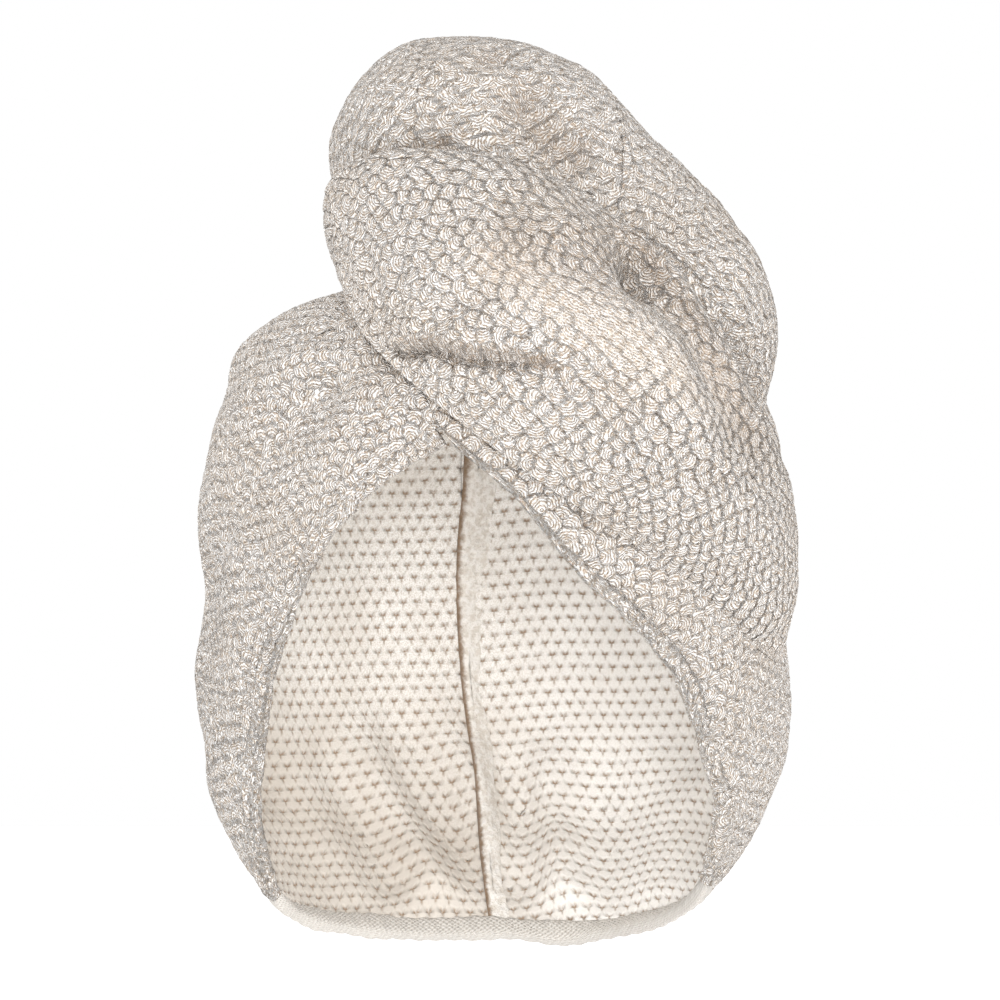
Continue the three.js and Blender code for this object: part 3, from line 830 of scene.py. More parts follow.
def heathered_cloth(name):
    """The outside: strands that curl round each loop, white, beige and grey, with painted shade in its
    furrows, gaps and folds.
    """
    finish = Finish(name)
    size = sizes()
    tone = colours()
    place = finish.place()
    x, y, own = finish.parts(finish.attribute("place", "Vector"))
    seam = finish.attribute("seam")
    taut_and_shade = finish.attribute("taut_and_shade")
    turn = own * 2.6 - 1.3
    off_x = x + turn.sine() * 0.5
    off_y = y - (turn + 1.57).sine() * 0.5
    wander = finish.noise(place, 2.6, 1.5)
    reach = (off_x * off_x + off_y * off_y).root() * (size.loop_pitch / size.strand_pitch)
    strand = ((reach + wander * 2.2) * TURN).sine() * 0.5 + 0.5
    straight = finish.attribute("across") / size.strand_pitch
    straight = ((straight + wander * 2.4) * TURN).sine() * 0.5 + 0.5
    furrow = strand.ramp(0.0, 0.62, 1.0, 0.0)
    furrow = furrow + (straight.ramp(0.0, 0.7, 1.0, 0.0) - furrow) * taut_and_shade
    strand = strand + (straight - strand) * taut_and_shade
    ply = finish.noise(place, 1.1, rough=0.6)
    fibre = finish.noise(place, 0.3, rough=0.7)
    heather = finish.noise(place, 4.5, 3.0, 0.65)
    drift = finish.noise(place, 38.0)
    shade = finish.mix(ply.ramp(0.36, 0.56), tone.beige, tone.white)
    shade = finish.mix(heather.ramp(0.56, 0.74) * 0.3, shade, tone.grey)
    # Large patches drift towards beige at random; the taut band is darkened towards beige as painted shade on
    # its ridge
    shade = finish.mix(drift.ramp(0.4, 0.7) * 0.2 + taut_and_shade * 0.35, shade, tone.beige)
    # Painted shade in the furrows between the strands, broken up by the fibres
    trough = furrow * (0.35 + (fibre * -1.0 + 1.0).ramp(0.4, 0.58) * 0.65)
    shade = finish.mix(trough.clamped(), shade, tone.gap)
    # Painted shade in the folds
    shade = finish.mix(finish.attribute("deep") * fibre.ramp(0.35, 0.6, 0.6, 1.0), shade, tone.gap)
    # Painted shade in the gaps between the loops, strongest below each loop and less on the taut band
    low = y.ramp(-0.2, 0.35, 0.1, 1.0)
    shade = finish.mix(seam.ramp(0.0, 0.13, 0.8, 0.0) * low * (1 - taut_and_shade), shade, tone.gap)
    finish.set("Sheen Roughness", 0.6)
    height = strand * 0.7 + fibre * 0.25 + seam.ramp(0.0, 0.25) * 0.3
    return finish.as_cloth(shade, height, 0.0012, 0.92, 0.06)


def lining_cloth(name):
    """The inside: cream cotton in rounded scales, with painted brown shade in each gap, darker towards the
    lower left by painted shade and its own tone, and painted light on the right.
    """
    finish = Finish(name)
    size = sizes()
    tone = colours()
    place = finish.place()
    s, t, _ = finish.parts(finish.attribute("cloth", "Vector"))
    wobble = finish.noise(place, 5.0, 1.0)
    t = t / size.row_pitch + (wobble - 0.5) * 0.22
    row = t.floor()
    odd = (row * 0.5).fraction()
    wobble = finish.noise(place, 6.5, 1.0)
    x = ((s / size.cell_pitch + odd + (wobble - 0.5) * 0.3).fraction() - 0.5).size()
    y = t - row
    arm = (y + x * 0.9 - 1).size().ramp(0.0, 0.32, 1.0, 0.0) * x.ramp(0.1, 0.34, 1.0, 0.0)
    stem = (x * -1 + 0.5).ramp(0.0, 0.14, 0.75, 0.0) * y.ramp(0.1, 0.5, 1.0, 0.0)
    mark = finish.maximum(arm, stem)
    soft = (y + x * 0.9 - 1).size().ramp(0.0, 0.45, 1.0, 0.0) * x.ramp(0.2, 0.5, 1.0, 0.3)
    thread = finish.noise(place, 0.5, 2.0, 0.65)
    patch = finish.noise(place, 1.6, 2.0, 0.6)
    drift = finish.noise(place, 30.0)
    aside, _, height = finish.parts(place)
    # Darker towards the lower left: partly painted shade of the drape, partly the cloth's own tone
    low = height.ramp(-110.0, -215.0) * aside.ramp(50.0, -40.0, 0.45, 0.95)
    # Painted light: the right side is lighter
    painted_light = aside.ramp(-20.0, 40.0, 0.0, 0.5)
    shade = finish.mix(thread.ramp(0.3, 0.65), tone.cream, tone.pale)
    shade = finish.mix(drift.ramp(0.4, 0.7) * 0.4 + low, shade, tone.cream)
    shade = finish.mix(painted_light, shade, tone.pale)
    # Painted shade: a brown mark in the gap between the scales
    shade = finish.mix(mark * patch.ramp(0.32, 0.54, 0.4, 1.0), shade, tone.shadow)
    return finish.as_cloth(shade, soft * -0.75 + mark * -0.4 + thread * 0.25, 0.0008)


def seam_cloth(name):
    """The seam allowance: plain cream cotton, with a painted brown shadow where it turns under on its left.
    """
    finish = Finish(name)
    tone = colours()
    place = finish.place()
    s, _, _ = finish.parts(finish.attribute("cloth", "Vector"))
    thread = finish.noise(place, 0.6, 2.0, 0.65)
    tuft = finish.noise(place, 2.2, 3.0, 0.6)
    shade = finish.mix(tuft.ramp(0.35, 0.62) * 0.6, tone.cream, tone.pale)
    # Painted shadow where the allowance turns under on its left
    under = (s + (tuft - 0.5) * 0.5).ramp(-0.95, -0.5, 1.0, 0.0)
    shade = finish.mix(under * 0.95, shade, tone.gap)
    return finish.as_cloth(shade, thread * 0.35 + tuft * 0.8, 0.0012)


def folded_cloth(name):
    """The nape hem: the smooth folded edge of the lining, with close stitches."""
    finish = Finish(name)
    tone = colours()
    place = finish.place()
    s, t, _ = finish.parts(finish.attribute("cloth", "Vector"))
    thread = finish.noise(place, 0.45, 2.0, 0.6)
    knots = (s * (TURN / 2.1) + t * 1.6).sine() * (t * (TURN / 1.7)).sine()
    drift = finish.noise(place, 14.0)
    shade = finish.mix(thread.ramp(0.35, 0.65), tone.hem_shade, tone.hem)
    shade = finish.mix(drift.ramp(0.4, 0.7) * 0.3, shade, tone.hem_shade)
    shade = finish.mix(knots.ramp(-1.0, -0.2, 0.3, 0.0), shade, tone.gap)
    return finish.as_cloth(shade, knots * 0.5 + thread * 0.4, 0.0005)


def button_plastic(name):
    """Dark brown moulded plastic with faint swirls."""
    finish = Finish(name)
    place = finish.place()
    swirl = finish.noise(place, 5.0, 3.0)
    finish.set("Base Color", finish.mix(swirl.ramp(0.35, 0.65), (0.035, 0.024, 0.018), (0.075, 0.05, 0.036)))
    finish.set("Roughness", swirl.ramp(0.2, 0.8, 0.3, 0.42))
    return finish.material


# What a user would change


def length_property(name, description, default, low, high):
    description = f"{description}, in millimetres"
    return bpy.props.FloatProperty(name=name, description=description, default=default, min=low, max=high)


class TurbanSizes(bpy.types.PropertyGroup):
    loop_pitch: length_property("Loop pitch", "Width of one loop of the outside cloth", 5.6, 3, 12)
    loop_height: length_property("Loop height", "How far a loop stands out of the cloth", 1.0, 0, 4)
    strand_pitch: length_property("Strand pitch", "Width of one strand of yarn", 1.05, 0.4, 3)
    cell_pitch: length_property("Lining pitch", "Width of one scale of the lining", 5.0, 2, 9)
    row_pitch: length_property("Lining rows", "Height of one row of the lining", 4.4, 2, 9)
    cell_height: length_property("Lining height", "How far a scale stands out of the lining", 0.8, 0, 3)


def colour_property(name, description, default):
    return bpy.props.FloatVectorProperty(
        name=name, description=description, default=default, size=3, min=0, max=1, subtype="COLOR"
    )


class TurbanColours(bpy.types.PropertyGroup):
    white: colour_property("White yarn", "Lightest yarn of the outside", (0.955, 0.94, 0.92))
    beige: colour_property("Beige yarn", "Middle yarn of the outside", (0.68, 0.585, 0.485))
    grey: colour_property("Grey yarn", "Cool yarn of the outside", (0.72, 0.7, 0.68))
    # The gap colour paints shade in the outside's furrows, loop gaps and folds and under the seam allowance;
    # it also darkens the hem between its stitches
    gap: colour_property("Gap", "Between the strands and loops", (0.22, 0.14, 0.08))
    cream: colour_property("Cream", "Darker yarn of the lining", (0.66, 0.605, 0.54))
    pale: colour_property("Pale", "Lighter yarn of the lining", (0.92, 0.9, 0.87))
    # The lining gap colour paints the shade between the lining's scales
    shadow: colour_property("Lining gap", "Between the scales of the lining", (0.33, 0.235, 0.16))
    hem: colour_property("Hem", "Lighter thread of the nape hem", (0.655, 0.625, 0.58))
    hem_shade: colour_property("Hem shade", "Darker thread of the nape hem", (0.57, 0.53, 0.485))


def sizes():
    return bpy.context.scene.turban_sizes


def colours():
    return bpy.context.scene.turban_colours


FINISHES = {
    "heathered_waffle": heathered_cloth,
    "cream_waffle": lining_cloth,
    "seam_cotton": seam_cloth,
    "hem_cotton": folded_cloth,
    "dark_button": button_plastic,
}


def finish_named(name):
    """The finish of that name, made when it is first asked for."""
    return bpy.data.materials.get(name) or FINISHES[name](name)


def dressed(piece, finish, nodes):
    """Gives a piece its finish, its place on the body and the frame's pieces that it stands for."""
    piece.data.materials.append(finish_named(finish))
    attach(piece, BODY)
    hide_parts(*nodes)


def cloth_lengths(p, middle):
    """Lengths over a cloth's grid: across the rows from a middle column, and down each column."""
    way = unit(np.gradient(p, axis=1))
    step = np.diff(p, axis=0)
    along = (way[1:] + way[:-1]) / 2
    s = summed(np.linalg.norm(step - dot(step, along) * along, axis=-1), 0)
    return s - s[middle], run_along(p, 1)


def band_lengths(p):
    """Lengths over a long band's grid: along its middle row, and across each column from its middle."""
    row = p.shape[1] // 2
    t = run_along(p, 1)
    return run_along(p[:, row])[:, None] + 0 * t, t - t[:, row : row + 1]


def hood_wall(start, end, columns, rows, inset, shift, low_share):
    """A grid of one half of the hood, from the pole to the hem, inside by the inset, with its normals.

    low_share is the share of the rows that its lower part gets, where the cells show most.
    """
    u = np.linspace(0, 1, columns)[:, None]
    v = np.linspace(0, 1, rows)[None, :]
    v = np.interp(v, [0, 1 - low_share, 1], [0, 0.35, 1]) + 0 * v
    round_share = start + (end - start) * u + 0 * v
    low = 1 - hem_share(round_share[:, :1]) * 0.8
    d = hood_ray(round_share, low * np.maximum(v, 0.012))
    p = HEART + d * hood_reach(d)[..., None]
    dips = waves(p, 55, 5) + 0.5 * waves(p, 24, 6) + dip(p, CHEEK_DIP, 4.5, 11, (0.4, 0.6))
    for line in LEFT_GATHERS:
        dips += dip(p, line, 1.8, 3.2, (0.8, 0.0))
    p += d * dips[..., None]
    n = normals_of(p)
    n = n * np.sign(dot(n, d))
    p = p - n * inset
    p[..., 0] += shift
    return p, n


def facing_out(p, d):
    """Whether the normals of a grid of points go with the rays."""
    return np.median(dot(normals_of(p), d)) > 0


# The halves of the hood: the side, its shares round the edge, its shift in millimetres and its flat width in
# metres.
HALVES = (
    ("left", 0.0, NAPE_SHARE, -0.15, 0.235),
    ("right", NAPE_SHARE, 1.0, 0.15, 0.262),
)


class TURBAN_OT_hood(bpy.types.Operator):
    """Makes the two halves of the hood's outside cloth"""

    bl_idname = "turban.hood"
    bl_label = "Hood"

    def execute(self, context):
        size = sizes()
        for side, start, end, shift, width in HALVES:
            p, n = hood_wall(start, end, *HOOD_GRIDS[0], 0.0, shift, 0.78)
            if not facing_out(p, n):
                p, n = p[::-1], n[::-1]
            cells = weave(p, cloth_lengths(p, len(p) // 2), size.loop_pitch, 11)
            face = p + n * (pebble(cells) * size.loop_height - LOOP_FOOT)[..., None]
            piece = shell(f"hood_{side}", face, resampled(p - n * 1.3, *HOOD_GRIDS[1]), cells)
            dressed(piece, "heathered_waffle", [f"panel_{side}"])
            width * 0.26
        return {"FINISHED"}


# The lining's drape folds as lines seen from the front, with their depths and widths
LINING_FOLDS = [
    ([(-46, -140), (-36, -165), (-18, -193), (-2, -216)], 4.5, 8),
    ([(-1, -160), (4, -190), (13, -222)], 4.5, 7),
    ([(-62, -150), (-56, -180), (-40, -212)], 3, 7),
    ([(34, -150), (38, -185), (36, -220)], 2.5, 9),
]


def drape(p):
    """How far the lining hangs inwards from the outside cloth, in millimetres."""
    loose = np.full(p.shape[:2], 1.2)
    back = smooth((p[..., 1] - 10) / 30)
    for line, depth, wide in LINING_FOLDS:
        away, _, share = from_line(p, line)
        fade = smooth(share / 0.35)
        loose -= back * fade * depth * np.exp(-((away / wide) ** 2))
        loose += back * fade * 0.8 * depth * np.exp(-(((away - 2 * wide) / wide) ** 2))
    return np.maximum(loose + 0.8 * waves(p, 40, 61), -1.6)


class TURBAN_OT_lining(bpy.types.Operator):
    """Makes the two halves of the cream lining"""

    bl_idname = "turban.lining"
    bl_label = "Lining"

    def execute(self, context):
        size = sizes()
        for side, start, end, shift, width in HALVES:
            p, n = hood_wall(start, end, *LINING_GRIDS[0], CLOTH, shift, 0.85)
            seam_column = -1 if side == "left" else 0
            cloth = np.stack([*cloth_lengths(p, seam_column), np.zeros(p.shape[:2])], axis=-1)
            loose = drape(p) * smooth((cloth[..., 1][:, -1:] - cloth[..., 1]) / 14)
            height = scallop(cloth, size.cell_pitch, size.row_pitch) * size.cell_height
            face = p - n * (height + loose - 0.3)[..., None]
            rear = p + n
            if facing_out(p, n):
                face, rear, cloth = face[::-1], rear[::-1], cloth[::-1]
            piece = shell(f"lining_{side}", face, resampled(rear, *LINING_GRIDS[1]), {"cloth": cloth})
            dressed(piece, "cream_waffle", [f"panel_{side}"])
            width * 0.25
        return {"FINISHED"}


class TURBAN_OT_roll(bpy.types.Operator):
    """Makes the twisted tail over the crown and down the back"""

    bl_idname = "turban.roll"
    bl_label = "Crown roll"

    twists: bpy.props.FloatProperty(name="Twists", description="Folds along the tail", default=5.5)
    slant: bpy.props.FloatProperty(name="Slant", description="How far a fold leans", default=0.42)
    groove: length_property("Groove", "Depth of a fold", 9.0, 0, 30)

    def execute(self, context):
        size = sizes()
        columns, rows = ROLL_GRIDS[0]
        _, line, _ = route(ROLL_SPINE, columns)
        ridge = HEART + line * (hood_reach(line) + self.lift_over(line[None])[0] * ROLL_RISE)[:, None]
        at = even_places(ridge[None], columns, 0)[0]
        v = np.linspace(1, -1, 120)[None, :] + 0 * at[:, None]
        p, _, _, _ = self.surface(at, v)
        v = 1 - 2 * even_places(p, rows, 9)
        p, d, out, lift = self.surface(at, v)
        soft = 1.3 * waves(p, 60, 71) + 0.6 * waves(p, 26, 72)
        soft = soft + dip(p, TOP_DIP, 7, 8, (0.0, 0.7)) + dip(p, TOP_NICK, 2.2, 2.6, (0.5, 0.2))
        p = p + d * (soft * np.clip(out / 8, 0, 1))[..., None]
        if not facing_out(p, d):
            p, d, lift = p[::-1], d[::-1], lift[::-1]
        n = normals_of(p)
        cells = weave(p, band_lengths(p), size.loop_pitch, 31)
        # Painted shade in the tuck under the sweep, the top dip and the top nick
        cells["deep"] = painted_fold_shade(p, [(TUCK, 3.0, 0.6), (TOP_DIP, 8, 0.35), (TOP_NICK, 2.5, 0.4)])
        face = p + n * ((pebble(cells) * size.loop_height - LOOP_FOOT) * smooth(lift / 0.06))[..., None]
        back = resampled(HEART + d * (hood_reach(d) - 1.7)[..., None], *ROLL_GRIDS[1])
        piece = shell("crown_twist", face, back, cells)
        dressed(piece, "heathered_waffle", ["crown_roll"])
        return {"FINISHED"}

    def lift_over(self, d):
        """How far the tail stands out along each ray, as a share of its greatest rise, or 0 beside it."""
        at, ridge, _ = route(ROLL_ROWS, 150)
        row = ROLL_ROWS(at)
        half = np.radians(row["half"]) ** 2
        lift = np.zeros(d.shape[:2])
        for k in range(len(at)):
            away = 2 - 2 * (d @ ridge[k])
            dome = np.maximum(1 - (away / half[k]) ** 1.15, 0) ** 0.55
            lift = np.maximum(lift, row["lift"][k] * dome)
        return lift

    def surface(self, at, v):
        """The tail's smooth surface, its rays, its height over the hood and that height's share."""
        read, *rays = route(ROLL_SPINE, 720)
        line, side = (unit(read_between(at, read, a)) for a in rays)
        angle = np.radians(ROLL_SPINE(at)["half"])[:, None] * v
        d = unit(line[:, None] * np.cos(angle)[..., None] + side[:, None] * np.sin(angle)[..., None])
        lift = self.lift_over(d)
        phase = self.twists * at[:, None] - self.slant * v
        crease = (0.12 + 0.88 * np.abs(np.sin(np.pi * phase)) ** 1.2) ** 0.6
        depth = self.groove * (1 - crease) * smooth((at[:, None] - 0.28) / 0.3) * np.minimum(lift * 5, 1)
        out = lift * ROLL_RISE - depth - (LAYER_GAP + 1.1) * (1 - smooth(lift / 0.05))
        return HEART + d * (hood_reach(d) + LAYER_GAP + out)[..., None], d, out, lift


class TURBAN_OT_sweep(bpy.types.Operator):
    """Makes the cloth that sweeps over the forehead to the upper left"""

    bl_idname = "turban.sweep"
    bl_label = "Forehead sweep"

    def execute(self, context):
        size = sizes()
        columns, rows = SWEEP_GRIDS[0]
        u = np.linspace(0, 1, columns)
        row = {key: values[:, None] for key, values in SWEEP_ROWS(u).items()}
        u = u[:, None]
        past = 0.34 * smooth((u - 0.12) / 0.3) * smooth((0.84 - u) / 0.2)
        whole = np.linspace(0, 1, rows)[None, :] * (1 + past)
        v = np.minimum(whole, 1)
        low = ray(row["lowBearing"], row["lowRise"]) + np.zeros((1, rows, 1))
        high = ray(row["highBearing"], row["highRise"]) + np.zeros((1, rows, 1))
        d = between(low, high, whole)
        bow = np.sin(np.pi * v ** (math.log(0.5) / math.log(0.52))) ** 0.9
        lift = SWEEP_RISE * (row["lowLift"] + (row["highLift"] - row["lowLift"]) * v + row["crest"] * bow)
        lift = lift * (1 - smooth((whole - 1) / np.maximum(past, 0.01)))
        floor = SWEEP_EDGE * smooth((u - 0.2) / 0.25)
        sink = (1 - smooth((u - 0.02) / 0.3)) * (1 - smooth((v - 0.02) / 0.3) * smooth(u / 0.12))
        sink = np.maximum(sink, smooth((v - 0.72) / 0.28) * (1 - smooth((u - 0.16) / 0.3)))
        out = np.maximum(lift, floor) - (LAYER_GAP + 1.6) * sink
        reach = hood_reach(d) + LAYER_GAP
        p = HEART + d * (reach + out)[..., None]
        soft = waves(p, 60, 81) + 0.6 * waves(p, 26, 82)
        soft += dip(p, VALLEY, 11, 9, (0.2, 0.4))
        soft += dip(p, DENT, 9, 8)
        soft += dip(p, SIDE_DIP, 4.5, 13, (1.0, 0.0))
        soft -= dip(p, SOFT_RIDGE, 2.6, 13)
        soft -= dip(p, SIDE_FOLD, 4, 5)
        soft += overlap(p, CROSS_FOLD, 7.5, 12, 7.5, 4.2)
        for line in TWIST_GATHERS:
            soft += dip(p, line, 2.6, 2.8, (0.7, 0.0))
        edge = np.minimum(np.minimum(v, 1 + past - whole) / 0.05, np.minimum(u, 1 - u) / 0.04)
        p = p + d * (soft * np.clip(edge, 0, 1))[..., None]
        if not facing_out(p, d):
            p, d, reach = p[::-1], d[::-1], reach[::-1]
        n = normals_of(p)
        cells = weave(p, band_lengths(p), size.loop_pitch, 41)
        away, side, share = from_line(p, SOFT_RIDGE)
        ends = smooth(share / 0.3) * smooth((1 - share) / 0.3)
        # The taut band along the soft ridge straightens the strands, flattens the loops and gets painted
        # shade
        cells["taut_and_shade"] = 0.75 * np.exp(-((away / 9) ** 2)) * ends * facing(p)
        cells["across"] = away * np.sign(side)
        # Painted shade in the folds: the cross fold's crease, the valley, the dent and the side dip
        deep = [(CROSS_FOLD, 2.4, 0.7), (VALLEY, 6, 0.4), (DENT, 5, 0.5), (SIDE_DIP, 15, 0.3)]
        cells["deep"] = painted_fold_shade(p, deep)
        loops = pebble(cells) * (1 - 0.75 * cells["taut_and_shade"])
        face = p + n * (loops * size.loop_height - LOOP_FOOT)[..., None]
        back = resampled(HEART + d * (reach - 1.2)[..., None], *SWEEP_GRIDS[1])
        piece = shell("forehead_sweep", face, back, cells)
        dressed(piece, "heathered_waffle", ["front_sweep"])
        return {"FINISHED"}


def squared(x):
    """Sines or cosines pushed outwards, for a section with rounded corners."""
    return np.sign(x) * np.abs(x) ** 0.6


def hem_rings(share, sides, width, thickness):
    """Rings of points round the folded edge of the cloth, and the middle of each ring."""
    middle = 1 - hem_share(share) / 2
    d = hood_ray(share, middle)
    p = HEART + d * hood_reach(d)[..., None]
    e = hood_ray(share, np.ones(len(share)))
    lower = unit(HEART + e * hood_reach(e)[..., None] - p)
    ahead = unit(np.gradient(p, axis=0))
    n = unit(np.cross(lower, ahead))
    n = np.where(dot(n, d) < 0, -n, n)
    p = p - n * CLOTH / 2
    angle = np.linspace(-0.5, 1.5, sides) * np.pi
    wide = squared(np.cos(angle)) * width / 2
    deep = squared(np.sin(angle)) * thickness / 2
    return p[:, None] + lower[:, None] * wide[None, :, None] + n[:, None] * deep[None, :, None], p


def tube(name, rings, attributes):
    """A closed piece from rings of points, whose last point is on the first, with a flat face at each end."""
    steps, sides = rings.shape[:2]
    ring = sides - 1
    i, k = (a.ravel() for a in np.meshgrid(np.arange(steps - 1), np.arange(ring), indexing="ij"))
    corners = [(i, k), (i, k + 1), (i + 1, k + 1), (i + 1, k)]
    faces = np.stack([a * ring + b % ring for a, b in corners], axis=1).tolist()
    faces.append(list(range(ring))[::-1])
    faces.append([(steps - 1) * ring + b for b in range(ring)])
    mesh = bpy.data.meshes.new(name)
    mesh.from_pydata((rings[:, :-1].reshape(-1, 3) * MM).tolist(), [], faces)
    for key, values in attributes.items():
        sheet = np.stack([values[a, b] for a, b in corners], axis=1).reshape(len(i) * 4, -1)
        ends = np.concatenate([values[0, :-1][::-1], values[-1, :-1]]).reshape(2 * ring, -1)
        add_values(mesh, key, np.concatenate([sheet, ends]), "CORNER")
    bm = bmesh.new()
    bm.from_mesh(mesh)
    bmesh.ops.recalc_face_normals(bm, faces=bm.faces)
    bm.to_mesh(mesh)
    bm.free()
    return placed(name, mesh)


class TURBAN_OT_hem(bpy.types.Operator):
    """Makes the yarn edge on both sides of the face and the folded hem at the nape"""

    bl_idname = "turban.hem"
    bl_label = "Hem"

    def execute(self, context):
        size = sizes()
        nape = (NAPE_SHARE - 0.17, NAPE_SHARE + 0.17)
        edges = (("face_edge_left", 0.003, nape[0] + 0.01), ("face_edge_right", nape[1] - 0.01, 0.997))
        for name, start, end in edges:
            steps = int((end - start) * EDGE_LENGTH / 0.75)
            rings, middle = hem_rings(np.linspace(start, end, steps), 34, HEM_WIDTH - 0.6, HEM_THICKNESS)
            out = unit(rings - middle[:, None])
            lumps = 0.6 * waves(rings, 17, 91) + 0.3 * waves(rings, 8, 92)
            lengths = cloth_lengths(rings, 0)
            cells = weave(rings, lengths, size.loop_pitch * 0.85, 93, flat=True)
            rings = rings + out * (lumps + pebble(cells) * size.loop_height - LOOP_FOOT)[..., None]
            rings[:, -1] = rings[:, 0]
            piece = tube(name, rings, cells)
            dressed(piece, "heathered_waffle", ["hem"])
        steps = 420
        share = np.linspace(*nape, steps)
        rings, middle = hem_rings(share, 26, HEM_WIDTH, HEM_THICKNESS)
        s, t = cloth_lengths(rings, 0)
        out = unit(rings - middle[:, None])
        taper = 0.55 * smooth((np.abs(share - NAPE_SHARE) - 0.14) / 0.03)[:, None]
        pucker = 0.22 * np.sin(s * 2 * np.pi / 6.5) + 0.35 * waves(rings, 22, 95)
        rings = rings + out * (pucker - taper * 2)[..., None]
        rings[:, -1] = rings[:, 0]
        piece = tube("nape_hem", rings, {"cloth": np.stack([s, t, 0 * s], axis=-1)})
        dressed(piece, "hem_cotton", ["hem"])
        return {"FINISHED"}


# The seam allowance: its width and height as shares of the sizes above, and how far it leans to the right
SEAM_ROWS = Table(
    "down width height lean",
    [
        [0.3, 1.2, 0.9, 0.6],
        [0.48, 1.25, 1.0, 0.6],
        [0.58, 1.15, 1.1, 0.5],
        [0.68, 0.9, 1.3, 0.3],
        [0.78, 0.72, 1.5, 0.12],
        [0.88, 0.66, 1.5, 0.1],
        [0.95, 0.66, 1.3, 0.04],
        [1, 0.6, 0.1, 0],
    ],
)


class TURBAN_OT_seam(bpy.types.Operator):
    """Makes the seam allowance down the inside of the back"""

    bl_idname = "turban.seam"
    bl_label = "Back seam"

    def execute(self, context):
        steps, sides = 340, 33
        down = np.linspace(0.992, 0.3, steps)
        row = {key: values[:, None] for key, values in SEAM_ROWS(down).items()}
        ridge = hood_ray(np.full(steps, NAPE_SHARE), down)
        across = unit(np.cross(hood_ray(np.full(steps, NAPE_SHARE), down - 0.01), ridge))
        angle = np.linspace(-0.5, 1.5, sides)[None, :] * np.pi
        sideways = np.cos(angle)
        aside = row["width"] * SEAM_WIDTH * (row["lean"] + sideways / 2)
        aside = aside + (1.1 * np.sin(down * 31) + 0.6 * np.sin(down * 77))[:, None] * (sideways > 0)
        aside = aside + (0.7 * np.sin(down * 23 + 1))[:, None] * (sideways < 0)
        d = unit(ridge[:, None] - across[:, None] * (aside / hood_reach(ridge)[:, None])[..., None])
        tilt = 1.0 - 0.45 * smooth((sideways + 0.4) / 1.4)
        depth = row["height"] * SEAM_THICKNESS * tilt * (1 - squared(np.sin(angle))) / 2
        foot = smooth((1 - down[:, None]) / 0.05)
        rings = HEART + d * (hood_reach(d) - CLOTH - 2.2 * foot + 1.2 - depth)[..., None]
        hang = np.maximum(drape(rings) - 1.2, 0) * foot
        rings = rings - d * hang[..., None]
        rings = rings - d * (0.5 * waves(rings, 20, 97) + 0.3 * waves(rings, 7, 98))[..., None]
        rings[:, -1] = rings[:, 0]
        side = np.clip(sideways, -1, 1) + 0 * aside
        cloth = np.stack([side, 0 * aside, 0 * aside], axis=-1)
        piece = tube("seam_allowance", rings, {"cloth": cloth})
        dressed(piece, "seam_cotton", ["back_seam"])
        return {"FINISHED"}


class TURBAN_OT_button(bpy.types.Operator):
    """Gives the nape button its finish"""

    bl_idname = "turban.button"
    bl_label = "Nape button"

    def execute(self, context):
        for slot in bpy.data.objects["nape_button"].material_slots:
            slot.material = finish_named("dark_button")
        return {"FINISHED"}


# The view: a pixel's size in millimetres, the picture's width and the crown's place in pixels, the camera's
# distance in metres from a plane that lies FRONT before the middle, and its sensor's width in millimetres
FRONT = 0.04
PIXEL = 0.345
PICTURE = 1000
CROWN_AT = (503, 275)
DISTANCE = 8.0
SENSOR = 36

# The stage, in metres: the floor's height and half its width, the point that the lamps face, and each lamp's
# place, width and power in watts
AIM = (0, 0, -0.08)
FLOOR = -0.36
FLOOR_HALF = 14.0
LAMPS = (
    ("key", (-0.9, -1.7, 1.5), 0.5, 17),
    ("front", (0.1, -2.6, 0.1), 0.8, 34),
    ("side", (2.0, -1.0, 0.6), 0.9, 12),
    ("back", (-0.6, 2.2, 1.2), 0.9, 16),
)


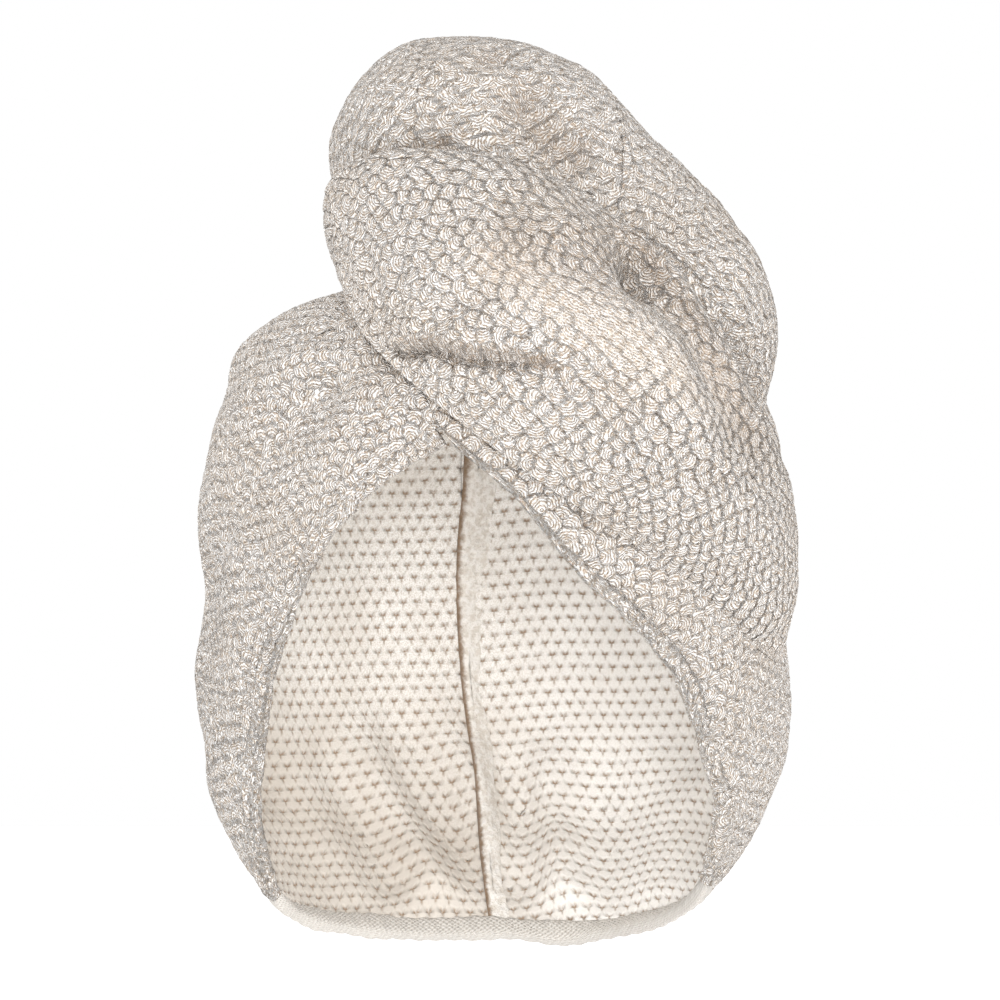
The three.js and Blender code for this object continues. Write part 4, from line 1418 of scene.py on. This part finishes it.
class TURBAN_OT_stage(bpy.types.Operator):
    """Makes the pale floor, the lights and the camera"""

    bl_idname = "turban.stage"
    bl_label = "Stage"

    def execute(self, context):
        scene = context.scene
        corners = [(-1, -1), (1, -1), (1, 1), (-1, 1)]
        mesh = bpy.data.meshes.new("floor")
        mesh.from_pydata([(x * FLOOR_HALF, y * FLOOR_HALF, FLOOR) for x, y in corners], [], [(0, 1, 2, 3)])
        floor = bpy.data.objects.new("floor", mesh)
        scene.collection.objects.link(floor)
        finish = Finish("pale_floor")
        finish.set("Base Color", (0.9, 0.9, 0.9))
        finish.set("Roughness", 0.9)
        finish.set("Emission Color", (1.0, 1.0, 1.0))
        finish.set("Emission Strength", 0.3)
        mesh.materials.append(finish.material)

        world = bpy.data.worlds.new("studio")
        world.use_nodes = True
        sky = world.node_tree.nodes["Background"]
        sky.inputs["Color"].default_value = (1, 1, 1, 1)
        sky.inputs["Strength"].default_value = 1.0
        scene.world = world
        scene.view_settings.view_transform = "Standard"

        for name, place, width, power in LAMPS:
            light = bpy.data.lights.new(name, "AREA")
            light.size = width
            light.energy = power
            item = bpy.data.objects.new(name, light)
            item.location = place
            item.rotation_euler = (Vector(AIM) - Vector(place)).to_track_quat("-Z", "Y").to_euler()
            scene.collection.objects.link(item)

        camera = bpy.data.cameras.new("camera")
        camera.sensor_width = SENSOR
        camera.lens = SENSOR * DISTANCE / (PICTURE * PIXEL * MM)
        camera.clip_end = 20
        eye = bpy.data.objects.new("camera", camera)
        aside, up = PICTURE / 2 - CROWN_AT[0], CROWN_AT[1] - PICTURE / 2
        eye.location = (aside * PIXEL * MM, -FRONT - DISTANCE, up * PIXEL * MM)
        eye.rotation_euler = (math.pi / 2, 0, 0)
        scene.collection.objects.link(eye)
        scene.camera = eye
        return {"FINISHED"}


class TURBAN_PT_panel(bpy.types.Panel):
    bl_label = "Hair turban towel"
    bl_idname = "TURBAN_PT_panel"
    bl_space_type = "VIEW_3D"
    bl_region_type = "UI"
    bl_category = "Turban"

    def draw(self, context):
        for group in (context.scene.turban_sizes, context.scene.turban_colours):
            for key in group.__annotations__:
                self.layout.prop(group, key)
        for operator in OPERATORS:
            self.layout.operator(operator.bl_idname)


OPERATORS = (
    TURBAN_OT_stage,
    TURBAN_OT_hood,
    TURBAN_OT_lining,
    TURBAN_OT_roll,
    TURBAN_OT_sweep,
    TURBAN_OT_hem,
    TURBAN_OT_seam,
    TURBAN_OT_button,
)
CLASSES = (TurbanSizes, TurbanColours, *OPERATORS, TURBAN_PT_panel)


def register():
    for made in CLASSES:
        bpy.utils.register_class(made)
    bpy.types.Scene.turban_sizes = bpy.props.PointerProperty(type=TurbanSizes)
    bpy.types.Scene.turban_colours = bpy.props.PointerProperty(type=TurbanColours)


def unregister():
    del bpy.types.Scene.turban_sizes
    del bpy.types.Scene.turban_colours
    for made in reversed(CLASSES):
        bpy.utils.unregister_class(made)


def main():
    register()
    for operator in OPERATORS:
        group, call = operator.bl_idname.split(".")
        getattr(getattr(bpy.ops, group), call)()


if __name__ == "__main__":
    main()
